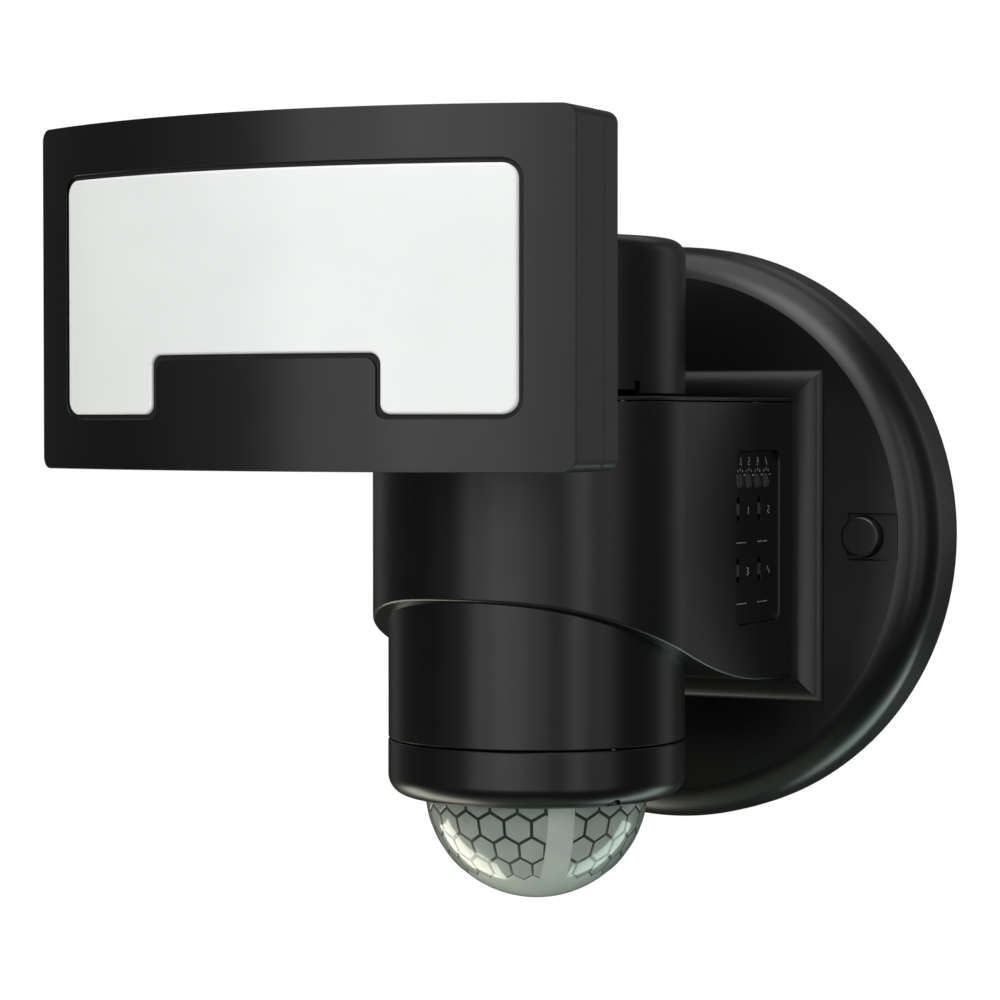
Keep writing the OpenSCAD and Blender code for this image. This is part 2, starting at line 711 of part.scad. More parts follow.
// ---- lamp ----
// a curved plate between two depths behind the lamp's front face, measured along +Y
module curved_slab(d0, d1) {
  at_axis() translate([0, curve_y, lamp_z0 - 10]) difference() {
    translate([0, d0, 0]) cylinder(r = lamp_curve_r, h = lamp_h + 20);
    translate([0, d1, -1]) cylinder(r = lamp_curve_r, h = lamp_h + 22);
  }
}

// children are an outline in x and height, drawn out along the lamp's depth
module lamp_prism() { at_axis() translate([0, -90, 0]) rotate([90, 0, 0]) linear_extrude(70) children(); }

module lamp_outline(inset) {
  translate([0, lamp_mid_z]) rounded_rect(2 * (lamp_half_w - inset), lamp_h - 2 * inset, max(0.6, 3 - inset));
}

module window_outline(inset) {
  difference() {
    translate([0, (window_z0 + window_z1) / 2])
      rounded_rect(2 * (window_half_w - inset), window_z1 - window_z0 - 2 * inset, window_r - inset);
    translate([0, window_z0 - 20 + inset])
      rounded_rect(2 * (notch_half_w + inset), 2 * (notch_z - window_z0 + 20), notch_r);
  }
}

module lamp_layer(d0, d1) {
  intersection() {
    curved_slab(d0, d1);
    lamp_prism() children();
  }
}

module lamp_frame() {
  color([0.12, 0.12, 0.125]) difference() {
    lamp_layer(0, frame_depth) lamp_outline(0);
    lamp_layer(face_t, frame_depth + 5) lamp_outline(wall);
    lamp_layer(-5, face_t + 5) window_outline(0);
  }
}

module lamp_diffuser() {
  color([0.95, 0.95, 0.93]) {
    lamp_layer(face_t, face_t + 2) lamp_outline(wall + 0.3);
    lamp_layer(-0.4, face_t + eps) window_outline(0.6);
  }
}

module lamp_seal() {
  color([0.05, 0.05, 0.05]) lamp_layer(frame_depth, case_d) difference() {
    lamp_outline(0.7);
    lamp_outline(wall);
  }
}

module lamp_case() {
  color([0.12, 0.12, 0.125]) difference() {
    lamp_layer(case_d, lamp_depth) lamp_outline(0);
    lamp_layer(case_d - 5, lamp_depth - wall) lamp_outline(wall);
    at_tilt() translate([-12, -90, -12]) cube([24, 60, 24]);
  }
}

module led_boards() {
  color([0.9, 0.9, 0.88]) for (a = board_angles) at_axis() translate([0, curve_y, 0]) rotate(a)
    translate([-19, -lamp_curve_r + 11.5, a == 0 ? 54 : 36]) cube([38, board_t, a == 0 ? 38 : 56]);
}

module led_chips() {
  color([1, 0.92, 0.5]) for (a = board_angles) at_axis() translate([0, curve_y, 0]) rotate(a)
    for (x = [-12, 0, 12], z = a == 0 ? [62, 73, 84] : [44, 58, 72, 86])
      translate([x - 1.75, -lamp_curve_r + 10.7, z - 1.75]) cube([3.5, 0.8, 3.5]);
}

// finned metal block behind the lamp's case, either side of the driver's housing
module heat_sink() {
  back_y = -lamp_out + lamp_depth;
  fin_y = -104;
  color([0.2, 0.2, 0.21]) difference() {
    at_axis() union() {
      for (s = [-1, 1], i = [0:4]) translate([s * (pod_half_w + 4 + i * 5.6) - 1, back_y - 1, tilt_z - 26])
        cube([2, fin_y - back_y + 1, 56]);
      translate([-sink_half_w, back_y - 1, tilt_z - 26]) cube([2 * sink_half_w, 14, 56]);
    }
    curved_slab(-20, lamp_depth);
    at_tilt() translate([-pod_half_w, -90, -pod_half_h]) cube([2 * pod_half_w, 90, 2 * pod_half_h]);
  }
}

// box behind the lamp that holds the lamp's power supply
module driver_housing() {
  color([0.12, 0.12, 0.125]) difference() {
    at_axis() translate([-pod_half_w, -lamp_out + lamp_depth - 1, tilt_z - pod_half_h])
      cube([2 * pod_half_w, lamp_out - lamp_depth + 1 - pod_y0, 2 * pod_half_h]);
    curved_slab(-20, lamp_depth);
    at_axis() translate([wall - pod_half_w, -lamp_out, tilt_z - pod_half_h + wall])
      cube([2 * (pod_half_w - wall), lamp_out - pod_y0 - wall, 2 * (pod_half_h - wall)]);
    at_tilt() translate([0, -30, 0]) rotate([-90, 0, 0]) cylinder(r = 3, h = 30, $fn = 32);
  }
}

module led_driver() {
  color([0.85, 0.75, 0.2]) at_axis() translate([-22, -112, tilt_z - 14]) cube([44, 30, 28]);
}

// tongue between the fork's ears, on a foot that closes the housing's rear
module tilt_knuckle() {
  color([0.12, 0.12, 0.125]) at_tilt() difference() {
    union() {
      rotate([0, 90, 0]) translate([0, 0, 1 - ear_gap]) cylinder(r = ear_r, h = 2 * (ear_gap - 1));
      translate([1 - ear_gap, tilt_out - pod_y0 + 3, -ear_r])
        cube([2 * (ear_gap - 1), pod_y0 - tilt_out - 3, 2 * ear_r]);
      translate([-22, tilt_out - pod_y0, -16]) cube([44, 4, 32]);
    }
    rotate([0, 90, 0]) translate([0, 0, -30]) cylinder(r = bolt_r + fit_gap, h = 60);
    translate([0, -30, 0]) rotate([-90, 0, 0]) cylinder(r = 3, h = 24, $fn = 32);
  }
}

wall_plate();
wall_gasket();
back_plate();
back_plate_screws();
screw_cap_left();
screw_cap_right();
cable_grommet();
terminal_block();
terminal_screws();
earth_screw();
body_screws();
body_shell();
body_cover();
cover_screws();
turret_bush();
pan_motor();
motor_bracket();
motor_screws();
motor_pinion();
main_board();
board_spacers();
board_parts();
control_board();
control_parts();
control_panel();
knob_1();
knob_2();
knob_3();
knob_4();
slider_1();
slider_2();
slider_3();
slider_4();
drum_shell();
drum_bezel();
bezel_screws();
dome_lens();
dome_seal();
sensor_board();
heat_sensors();
daylight_sensor();
turret_shell();
turret_base();
turret_gear();
spindle_clip();
turret_screws();
tilt_bracket();
tilt_bolt();
clamp_knob();
friction_washers();
lamp_frame();
lamp_diffuser();
lamp_seal();
lamp_case();
led_boards();
led_chips();
heat_sink();
driver_housing();
led_driver();
tilt_knuckle();
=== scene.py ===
"""Looks of a wall floodlight with a motion sensor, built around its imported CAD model.

Each sub-assembly is a class: it holds its sizes in millimetres, builds its meshes and dresses
them. The frame's boxes give the places; the pan axis and the tilt axis come from the joints.
"""

import json
import logging
import math
from dataclasses import dataclass, field
from enum import Enum
from typing import Callable, Iterable, Sequence

import bmesh
import bpy
import numpy as np
from mathutils import Euler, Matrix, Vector


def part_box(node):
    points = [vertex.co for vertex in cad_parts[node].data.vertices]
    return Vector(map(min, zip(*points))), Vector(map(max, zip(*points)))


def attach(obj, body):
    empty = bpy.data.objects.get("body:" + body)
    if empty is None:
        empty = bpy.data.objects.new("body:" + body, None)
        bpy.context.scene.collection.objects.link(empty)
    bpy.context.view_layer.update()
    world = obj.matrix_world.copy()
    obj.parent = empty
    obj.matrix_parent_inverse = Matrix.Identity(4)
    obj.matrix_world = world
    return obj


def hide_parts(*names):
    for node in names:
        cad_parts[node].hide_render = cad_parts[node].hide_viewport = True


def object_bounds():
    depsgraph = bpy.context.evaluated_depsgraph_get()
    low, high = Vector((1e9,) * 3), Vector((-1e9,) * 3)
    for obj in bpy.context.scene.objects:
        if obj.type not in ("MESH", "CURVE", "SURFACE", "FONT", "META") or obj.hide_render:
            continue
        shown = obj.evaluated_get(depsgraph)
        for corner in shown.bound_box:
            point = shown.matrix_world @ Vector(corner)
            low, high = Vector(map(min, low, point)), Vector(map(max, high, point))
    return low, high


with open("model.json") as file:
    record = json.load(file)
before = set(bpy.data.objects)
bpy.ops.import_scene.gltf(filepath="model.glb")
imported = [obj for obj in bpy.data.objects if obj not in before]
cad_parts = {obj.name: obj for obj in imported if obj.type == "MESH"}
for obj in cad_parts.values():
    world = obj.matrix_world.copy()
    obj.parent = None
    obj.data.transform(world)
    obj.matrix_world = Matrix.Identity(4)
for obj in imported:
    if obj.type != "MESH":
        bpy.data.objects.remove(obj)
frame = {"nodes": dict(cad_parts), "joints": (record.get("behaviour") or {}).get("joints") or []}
CAD_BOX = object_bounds()

MM = 0.001
ON_AXIS = 1e-6
DOUBLES = 2e-7
SLIVERS = 1e-7
EDGE_TURN = 40
SHADING_WEIGHT = 60
LOG = logging.getLogger("floodlight")
FINISH_MARK = "_finish"

Point = tuple[float, float, float]
Flat = tuple[float, float]
Colour = tuple[float, float, float]
Shade = tuple[str, str, Colour, float]
WHITE = (1.0, 1.0, 1.0)


# ---------------------------------------------------------------- places

class Body(Enum):
    """The bodies that pieces ride on."""

    BASE = "base"
    TURRET = "turret"
    LAMP = "lamp"


def node_box(node: str) -> tuple[Vector, Vector]:
    """Give a CAD node's box in millimetres.

    Args:
        node: name of the CAD node.

    Returns:
        Its lowest and highest corner.
    """
    low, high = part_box(node)
    return low / MM, high / MM


def middle(node: str) -> Vector:
    """Give the middle of a CAD node's box in millimetres."""
    low, high = node_box(node)
    return (low + high) / 2


def joint_anchor(name: str) -> Vector:
    """Give a joint's anchor in millimetres.

    Args:
        name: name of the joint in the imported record.

    Returns:
        The anchor point in the row frame.
    """
    for joint in frame["joints"]:
        if joint["name"] == name:
            return Vector(joint["pos_m"]) / MM
    raise ValueError(f"no joint named {name}")


PAN_Y = joint_anchor("turret_pan").y
TILT_AT = joint_anchor("lamp_tilt")


def about_pan_axis(point: Point) -> Point:
    """Move a point given from the pan axis into the row frame."""
    return (point[0], point[1] + PAN_Y, point[2])


def out_from_wall(point: Point) -> Point:
    """Turn (x, height, distance from the wall) into the row frame."""
    return (point[0], -point[2], point[1])


# ---------------------------------------------------------------- flat outlines

def arc(centre: Flat, radius: float, start: float, end: float, steps: int) -> list[Flat]:
    """Make the points of an arc.

    Args:
        centre: centre of the arc.
        radius: its radius.
        start: first angle in degrees.
        end: last angle in degrees.
        steps: number of chords.

    Returns:
        steps + 1 points from start to end.
    """
    angles = np.radians(np.linspace(start, end, steps + 1))
    return [(centre[0] + radius * math.cos(a), centre[1] + radius * math.sin(a)) for a in angles]


def rounded_rectangle(low: Flat, high: Flat, radius: float, steps: int = 6) -> list[Flat]:
    """Make a rectangle with round corners.

    Args:
        low: lowest corner.
        high: highest corner.
        radius: radius of the corners.
        steps: chords in each corner.

    Returns:
        The outline, anticlockwise.
    """
    left, right, bottom, top = low[0] + radius, high[0] - radius, low[1] + radius, high[1] - radius
    outline: list[Flat] = []
    for quarter, centre in enumerate(((right, bottom), (right, top), (left, top), (left, bottom))):
        outline += arc(centre, radius, 90 * quarter - 90, 90 * quarter, steps)
    return outline


# ---------------------------------------------------------------- mesh tools

def new_piece(
    name: str, points: Sequence[Point], faces: Sequence[Sequence[int]]
) -> bpy.types.Object:
    """Make an object from points in millimetres.

    Args:
        name: name of the piece.
        points: its points in the row frame.
        faces: its faces as point numbers.

    Returns:
        The object, with doubles merged and normals facing out.
    """
    mesh = bpy.data.meshes.new(name)
    mesh.from_pydata([Vector(p) * MM for p in points], [], [list(f) for f in faces])
    shape = bmesh.new()
    shape.from_mesh(mesh)
    bmesh.ops.remove_doubles(shape, verts=shape.verts, dist=DOUBLES)
    bmesh.ops.dissolve_degenerate(shape, edges=shape.edges, dist=SLIVERS)
    bmesh.ops.recalc_face_normals(shape, faces=shape.faces)
    if shape.calc_volume(signed=True) < 0:
        bmesh.ops.reverse_faces(shape, faces=shape.faces)
    shape.to_mesh(mesh)
    shape.free()
    piece = bpy.data.objects.new(name, mesh)
    bpy.context.scene.collection.objects.link(piece)
    return piece


def ring_faces(start: int, after: int, count: int) -> list[Sequence[int]]:
    """Give the faces between two closed rings of points.

    Args:
        start: number of the first ring's first point.
        after: number of the second ring's first point.
        count: points in each ring.

    Returns:
        One four-sided face for each side of the ring.
    """
    pairs = [(j, (j + 1) % count) for j in range(count)]
    return [(start + j, start + k, after + k, after + j) for j, k in pairs]


def revolve(
    name: str, profile: Sequence[Flat], steps: int, place: Callable[[Point], Point]
) -> bpy.types.Object:
    """Turn a closed profile round an axis.

    Args:
        name: name of the piece.
        profile: radius and height of each corner.
        steps: number of sides round the axis.
        place: takes a point about the axis into the row frame.

    Returns:
        The turned solid.
    """
    count = len(profile)
    points: list[Point] = []
    faces: list[Sequence[int]] = []
    for i in range(steps):
        turn = 2 * math.pi * i / steps
        points += [place((r * math.cos(turn), r * math.sin(turn), h)) for r, h in profile]
        around = ring_faces(i * count, (i + 1) % steps * count, count)
        faces += [
            face for j, face in enumerate(around)
            if profile[j][0] > ON_AXIS or profile[(j + 1) % count][0] > ON_AXIS
        ]
    return new_piece(name, points, faces)


def loft(name: str, rings: Sequence[Sequence[Point]]) -> bpy.types.Object:
    """Join rings of equal count into a solid with a cap at each end.

    Args:
        name: name of the piece.
        rings: rings of points in the row frame.

    Returns:
        The solid.
    """
    count = len(rings[0])
    points = [p for ring in rings for p in ring]
    faces: list[Sequence[int]] = []
    for i in range(len(rings) - 1):
        faces += ring_faces(i * count, (i + 1) * count, count)
    faces += [range(count), range((len(rings) - 1) * count, len(rings) * count)]
    return new_piece(name, points, faces)


def prism(
    name: str, outline: Sequence[Flat], start: float, end: float, place: Callable[[Point], Point]
) -> bpy.types.Object:
    """Draw an outline out into a solid.

    Args:
        name: name of the piece.
        outline: the outline.
        start: where the solid starts along the third axis.
        end: where it ends.
        place: takes a point into the row frame.

    Returns:
        The solid.
    """
    return loft(name, [[place((x, y, d)) for x, y in outline] for d in (start, end)])


def bake(piece: bpy.types.Object) -> None:
    """Apply a piece's modifiers to its mesh."""
    graph = bpy.context.evaluated_depsgraph_get()
    mesh = bpy.data.meshes.new_from_object(piece.evaluated_get(graph))
    piece.modifiers.clear()
    old = piece.data
    piece.data = mesh
    bpy.data.meshes.remove(old)


def combine(
    piece: bpy.types.Object, tools: Iterable[bpy.types.Object], operation: str = "DIFFERENCE"
) -> None:
    """Cut tools out of a piece, or add them to it.

    Args:
        piece: the piece that changes.
        tools: the solids that are used up.
        operation: DIFFERENCE or UNION.
    """
    for tool in tools:
        modifier = piece.modifiers.new("combine", "BOOLEAN")
        modifier.operation = operation
        modifier.object = tool
        modifier.solver = "EXACT"
        bake(piece)
        mesh = tool.data
        bpy.data.objects.remove(tool)
        bpy.data.meshes.remove(mesh)


def round_edges(piece: bpy.types.Object, width: float, steps: int = 3) -> None:
    """Round a piece's sharp edges.

    Args:
        piece: the piece.
        width: how far the rounding reaches from the edge, in millimetres.
        steps: number of facets in the rounding.
    """
    modifier = piece.modifiers.new("round", "BEVEL")
    modifier.width = width * MM
    modifier.segments = steps
    modifier.limit_method = "ANGLE"
    modifier.angle_limit = math.radians(EDGE_TURN)
    modifier.use_clamp_overlap = True
    bake(piece)


def slice_at(shape: bmesh.types.BMesh, point: Sequence[float], normal: Sequence[float]) -> None:
    """Cut new edges into a shape where a plane crosses it.

    Args:
        shape: the shape.
        point: a point of the plane, in metres.
        normal: the plane's normal.
    """
    geometry = [*shape.verts, *shape.edges, *shape.faces]
    bmesh.ops.bisect_plane(shape, geom=geometry, dist=SLIVERS, plane_co=point, plane_no=normal)


def settle(piece: bpy.types.Object, angle: float = 35) -> None:
    """Shade a piece smoothly up to its sharp edges, with flat faces kept flat.

    Args:
        piece: the piece.
        angle: edges that turn by more than this many degrees stay sharp.
    """
    piece.data.shade_smooth()
    piece.data.set_sharp_from_angle(angle=math.radians(angle))
    weighted = piece.modifiers.new("even shading", "WEIGHTED_NORMAL")
    weighted.keep_sharp = True
    weighted.weight = SHADING_WEIGHT


def soften(node: str, width: float, steps: int = 2) -> None:
    """Round the edges of a CAD node as it is shown, with modifiers only.

    Args:
        node: name of the CAD node.
        width: width of the rounding in millimetres.
        steps: number of facets in the rounding.
    """
    piece = frame["nodes"][node]
    weld = piece.modifiers.new("weld", "WELD")
    weld.merge_threshold = 0.004 * MM
    plain = piece.modifiers.new("plain faces", "DECIMATE")
    plain.decimate_type = "DISSOLVE"
    plain.angle_limit = math.radians(1.0)
    edge = piece.modifiers.new("round", "BEVEL")
    edge.width = width * MM
    edge.segments = steps
    edge.limit_method = "ANGLE"
    edge.angle_limit = math.radians(EDGE_TURN)
    weighted = piece.modifiers.new("even shading", "WEIGHTED_NORMAL")
    weighted.keep_sharp = False
    weighted.weight = SHADING_WEIGHT


# ---------------------------------------------------------------- finishes

@dataclass(frozen=True)
class Finish:
    """A surface finish that varies a little over the piece.

    The colour drifts between two shades in a broad pattern, the gloss follows a second
    pattern, and a fine grain lifts the surface. A glow, where set, is painted light: the
    surface gives off its own colour in place of light falling on it.
    """

    name: str
    dark: Colour
    light: Colour
    rough: tuple[float, float] = (0.4, 0.5)
    patch: float = 60.0
    grain: float = 2500.0
    lift: float = 0.02
    metallic: float = 0.0
    specular: float = 0.5
    coat: float = 0.0
    coat_rough: float = 0.1
    # painted light: emission strength that brightens the surface in place of light falling on it
    painted_glow: float = 0.0
    under: float = 0.0

    def material(self) -> bpy.types.Material:
        """Make the material once and give it back each time after."""
        return bpy.data.materials.get(self.name + FINISH_MARK) or self._make()

    def _make(self) -> bpy.types.Material:
        """Build the shader."""
        made = bpy.data.materials.new(self.name + FINISH_MARK)
        made.use_nodes = True
        nodes, links = made.node_tree.nodes, made.node_tree.links
        shader = nodes["Principled BSDF"]
        shader.inputs["Metallic"].default_value = self.metallic
        shader.inputs["Specular IOR Level"].default_value = self.specular
        shader.inputs["Coat Weight"].default_value = self.coat
        shader.inputs["Coat Roughness"].default_value = self.coat_rough
        shader.inputs["Subsurface Weight"].default_value = self.under
        shader.inputs["Subsurface Radius"].default_value = (0.004, 0.004, 0.004)
        # painted light: the surface gives off a painted glow
        shader.inputs["Emission Strength"].default_value = self.painted_glow
        place = nodes.new("ShaderNodeTexCoord")

        def pattern(scale: float, detail: float) -> bpy.types.Node:
            """Make a noise pattern over the object's own coordinates."""
            noise = nodes.new("ShaderNodeTexNoise")
            noise.inputs["Scale"].default_value = scale
            noise.inputs["Detail"].default_value = detail
            links.new(place.outputs["Object"], noise.inputs["Vector"])
            return noise

        broad = pattern(self.patch, 4.0)
        ramp = nodes.new("ShaderNodeValToRGB")
        ramp.color_ramp.elements[0].position = 0.3
        ramp.color_ramp.elements[0].color = (*self.dark, 1)
        ramp.color_ramp.elements[1].position = 0.7
        ramp.color_ramp.elements[1].color = (*self.light, 1)
        links.new(broad.outputs["Fac"], ramp.inputs["Fac"])
        links.new(ramp.outputs["Color"], shader.inputs["Base Color"])
        # painted light: the glow gives off the surface's own colour, standing in for light falling
        # on it
        if self.painted_glow:
            links.new(ramp.outputs["Color"], shader.inputs["Emission Color"])
        gloss = nodes.new("ShaderNodeMapRange")
        gloss.inputs["To Min"].default_value = self.rough[0]
        gloss.inputs["To Max"].default_value = self.rough[1]
        links.new(pattern(self.patch * 3, 3.0).outputs["Fac"], gloss.inputs["Value"])
        links.new(gloss.outputs["Result"], shader.inputs["Roughness"])
        if self.lift:
            bump = nodes.new("ShaderNodeBump")
            bump.inputs["Strength"].default_value = self.lift
            bump.inputs["Distance"].default_value = 0.0002
            links.new(pattern(self.grain, 2.0).outputs["Fac"], bump.inputs["Height"])
            links.new(bump.outputs["Normal"], shader.inputs["Normal"])
        return made


BLACK_PLASTIC = Finish(
    "black_plastic", (0.0030, 0.0030, 0.0031), (0.0040, 0.0040, 0.0041), rough=(0.29, 0.35),
    lift=0.02, patch=40
)
COVER_PLASTIC = Finish(
    "cover_plastic", (0.0028, 0.0028, 0.0029), (0.004, 0.004, 0.0041), rough=(0.34, 0.4), lift=0.03
)
PANEL_PLASTIC = Finish(
    "panel_plastic", (0.002, 0.002, 0.0021), (0.003, 0.003, 0.0031), rough=(0.26, 0.32), lift=0.01
)
RUBBER = Finish(
    "rubber", (0.004, 0.004, 0.004), (0.008, 0.008, 0.008), rough=(0.7, 0.85), lift=0.15
)
# The diffuser's glow is painted light: its emission stands in for studio light falling on the unlit
# opal diffuser.
OPAL = Finish(
    "opal_diffuser", (0.72, 0.73, 0.72), (0.78, 0.79, 0.78), rough=(0.28, 0.36), patch=18,
    lift=0.01, painted_glow=0.22
)
LENS_FILM = Finish(
    "lens_film", (0.38, 0.43, 0.39), (0.46, 0.51, 0.47), rough=(0.25, 0.35), patch=120, lift=0.0,
    coat=1.0, coat_rough=0.04
)
LENS_FROST = Finish(
    "lens_frost", (0.60, 0.66, 0.61), (0.68, 0.74, 0.69), patch=90, lift=0.0,
    coat=1.0, coat_rough=0.05
)
LENS_LINE = Finish(
    "lens_line", (0.02, 0.027, 0.023), (0.03, 0.038, 0.033), lift=0.0, coat=1.0, coat_rough=0.05
)
ZINC = Finish(
    "zinc_steel", (0.42, 0.43, 0.44), (0.60, 0.61, 0.62), rough=(0.25, 0.42), metallic=1.0,
    patch=150
)
BRASS = Finish(
    "brass", (0.55, 0.40, 0.15), (0.72, 0.55, 0.24), rough=(0.22, 0.36), metallic=1.0, patch=200
)
ALUMINIUM = Finish(
    "cast_aluminium", (0.018, 0.018, 0.019), (0.028, 0.028, 0.03), rough=(0.42, 0.55), lift=0.12,
    grain=1400
)
BOARD = Finish(
    "circuit_board", (0.01, 0.075, 0.028), (0.016, 0.11, 0.04), rough=(0.25, 0.35), patch=320
)
WHITE_BOARD = Finish(
    "white_board", (0.66, 0.66, 0.63), (0.78, 0.78, 0.75), rough=(0.3, 0.4), patch=200
)
ACETAL = Finish("acetal", (0.62, 0.61, 0.56), (0.74, 0.73, 0.68), rough=(0.35, 0.45), under=0.1)
GREY_PLASTIC = Finish(
    "grey_plastic", (0.045, 0.046, 0.048), (0.07, 0.071, 0.073), rough=(0.4, 0.5), patch=300
)
TERMINAL = Finish("terminal_plastic", (0.55, 0.55, 0.5), (0.65, 0.65, 0.6), rough=(0.4, 0.5))
BLUE_PLASTIC = Finish("blue_plastic", (0.02, 0.05, 0.2), (0.03, 0.08, 0.28), rough=(0.3, 0.42))
YELLOW_TAPE = Finish("yellow_tape", (0.55, 0.42, 0.05), (0.68, 0.52, 0.08), rough=(0.35, 0.5))
LED_PHOSPHOR = Finish("led_phosphor", (0.75, 0.62, 0.12), (0.85, 0.72, 0.2), rough=(0.4, 0.5))
PRINT = Finish(
    "white_print", (0.34, 0.35, 0.35), (0.46, 0.47, 0.47), rough=(0.5, 0.6), patch=900, lift=0.0
)


def dress(
    piece: bpy.types.Object, finish: Finish, body: Body,
    stands_for: Sequence[str] = ()
) -> bpy.types.Object:
    """Give a piece its finish and its place in the frame.

    Args:
        piece: the piece.
        finish: its finish.
        body: the body that it rides on.
        stands_for: CAD nodes that it is shown in place of.

    Returns:
        The piece.
    """
    piece.data.materials.clear()
    piece.data.materials.append(finish.material())
    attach(piece, body.value)
    if stands_for:
        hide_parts(*stands_for)
    LOG.info("%s: %s on %s", piece.name, finish.name, body.value)
    return piece


def paint_nodes(finish: Finish, nodes: Sequence[str]) -> None:
    """Give CAD nodes a finish.

    Args:
        finish: the finish.
        nodes: names of the nodes.
    """
    for node in nodes:
        materials = frame["nodes"][node].data.materials
        if not materials:
            materials.append(finish.material())
        for index in range(len(materials)):
            materials[index] = finish.material()
        LOG.info("%s: %s", node, finish.name)


# ---------------------------------------------------------------- wall plate

@dataclass
class WallPlate:
    """Round plate on the wall, its raised frame round the body's root, and the screw caps."""

    radius: float = field(default_factory=lambda: node_box("wall_plate")[1].x)
    root_depth: float = field(default_factory=lambda: -node_box("wall_plate")[0].y)
    cap_x: float = field(default_factory=lambda: middle("screw_cap_right").x)
    cap_front: float = field(default_factory=lambda: -node_box("screw_cap_right")[0].y)
    back: float = 2.0
    rise: float = 4.0
    rim_radius: float = 12.0
    rim_start: float = 12.0
    rim_inset: float = 0.2
    draft: Flat = (0.08, 6.0)
    chamfer: Flat = (0.5, 0.12)
    floor_radius: float = 70.0
    wall: float = 3.0
    sides: int = 288
    frame_half: Flat = (55.0, 49.5)
    frame_in: float = 8.2
    frame_swing: float = 78.0
    frame_steps: int = 14
    frame_foot: float = 1.5
    opening_half: Flat = (34.0, 30.0)
    pocket: tuple[Flat, Flat] = ((62.5, -6.7), (77.9, 6.7))
    pocket_depth: float = 1.2
    pocket_corner: float = 0.5
    pocket_chamfer: float = 0.35
    cap_radius: float = 6.05
    cap_hole: float = 6.3
    cap_edge: float = 0.9
    cap_length: float = 10.5
    cap_wall: float = 1.6
    cap_hollow: float = 3.0
    spare: float = 3.0

    @property
    def front(self) -> float:
        """Distance of the flat front from the wall."""
        return self.root_depth - self.rise

    def section(self, inset: float) -> list[Flat]:
        """Give the plate's section.

        Args:
            inset: how far the section lies inside the outer one.

        Returns:
            Radius and distance from the wall, from the axis outward and back.
        """
        lean = math.cos(math.radians(self.rim_start))
        centre = (self.radius - self.rim_radius - self.rim_inset,
                  self.front - self.rim_radius * lean)
        rim = arc(centre, self.rim_radius - inset, 0, 90 - self.rim_start, 28)
        side = (self.radius - inset, self.back)
        drafted = (side[0] - self.draft[0], self.back + self.draft[1])
        return [side, drafted, *rim, (self.floor_radius, self.front - inset * lean)]

    def shell(self) -> bpy.types.Object:
        """Build the hollow round plate."""
        outer, inner = self.section(0), self.section(self.wall)
        wide, fine = self.chamfer
        edge = [(outer[0][0] - wide, self.back), (outer[0][0] - fine, self.back + fine)]
        profile = [(0.0, self.front - self.wall), *reversed(inner), *edge, *outer[1:],
                   (0.0, self.front)]
        return revolve("wall_plate_shown", profile, self.sides, out_from_wall)

    def square(self, half: Flat, depth: float) -> list[Point]:
        """Give the corners of a rectangle at a distance from the wall.

        Args:
            half: half its width and half its height.
            depth: its distance from the wall.

        Returns:
            Four points in the row frame.
        """
        turns = ((-1, -1), (1, -1), (1, 1), (-1, 1))
        return [out_from_wall((sx * half[0], sz * half[1], depth)) for sx, sz in turns]

    def raised_frame(self) -> bpy.types.Object:
        """Build the frame round the root: four mitred faces with a round section."""
        swing = math.radians(self.frame_swing)
        rings = [self.square(self.frame_half, self.front - self.frame_foot)]
        for step in range(self.frame_steps + 1):
            angle = swing * step / self.frame_steps
            inset = self.frame_in * (1 - math.cos(angle)) / (1 - math.cos(swing))
            height = self.rise * math.sin(angle) / math.sin(swing)
            half = (self.frame_half[0] - inset, self.frame_half[1] - inset)
            rings.append(self.square(half, self.front + height))
        return loft("raised_frame", rings)

    def pocket_tool(self, side: int) -> bpy.types.Object:
        """Build the tool for the shallow pocket beside a screw cap.

        Args:
            side: -1 for the left pocket, 1 for the right.

        Returns:
            The tool.
        """
        (x0, z0), (x1, z1) = self.pocket
        x0, x1 = sorted((side * x0, side * x1))
        levels = ((-self.pocket_depth, 0.0), (-self.pocket_chamfer, 0.0),
                  (0.02, self.pocket_chamfer), (self.spare, self.pocket_chamfer))
        rings = []
        for lift, grow in levels:
            outline = rounded_rectangle(
                (x0 - grow, z0 - grow), (x1 + grow, z1 + grow), self.pocket_corner + grow, 4
            )
            rings.append([out_from_wall((x, z, self.front + lift)) for x, z in outline])
        return loft("pocket", rings)

    def build(self) -> None:
        """Build the plate and both caps."""
        plate = self.shell()
        combine(plate, [self.raised_frame()], "UNION")
        ends = (-1, self.root_depth + self.spare + 2)
        tools = [loft("opening", [self.square(self.opening_half, depth) for depth in ends])]
        for side in (-1, 1):
            tools.append(self.pocket_tool(side))
            hole = arc((side * self.cap_x, 0), self.cap_hole, 0, 360, 64)[:-1]
            start, end = self.front - self.wall - self.spare, self.front + self.spare
            tools.append(prism("cap_hole", hole, start, end, out_from_wall))
        combine(plate, tools)
        settle(plate, 10)
        dress(plate, BLACK_PLASTIC, Body.BASE, ["wall_plate"])
        for side, node in ((-1, "screw_cap_left"), (1, "screw_cap_right")):
            self.cap(side, node)

    def cap(self, side: int, node: str) -> None:
        """Build a screw cap: a round plug with a rolled edge and a hollow back.

        Args:
            side: -1 for the left cap, 1 for the right.
            node: the CAD node that it is shown in place of.
        """
        back, inner = self.cap_front - self.cap_length, self.cap_radius - self.cap_wall
        centre = (self.cap_radius - self.cap_edge, self.cap_front - self.cap_edge)
        profile = [(0.0, self.cap_front), *reversed(arc(centre, self.cap_edge, 0, 90, 7)),
                   (self.cap_radius, back), (inner, back), (inner, back + self.cap_hollow),
                   (0.0, back + self.cap_hollow)]

        def place(point: Point) -> Point:
            """Put a point of the cap on its screw."""
            return out_from_wall((point[0] + side * self.cap_x, point[1], point[2]))

        plug = revolve(node + "_shown", profile, 72, place)
        settle(plug)
        dress(plug, BLACK_PLASTIC, Body.BASE, [node])


# ---------------------------------------------------------------- wiring body

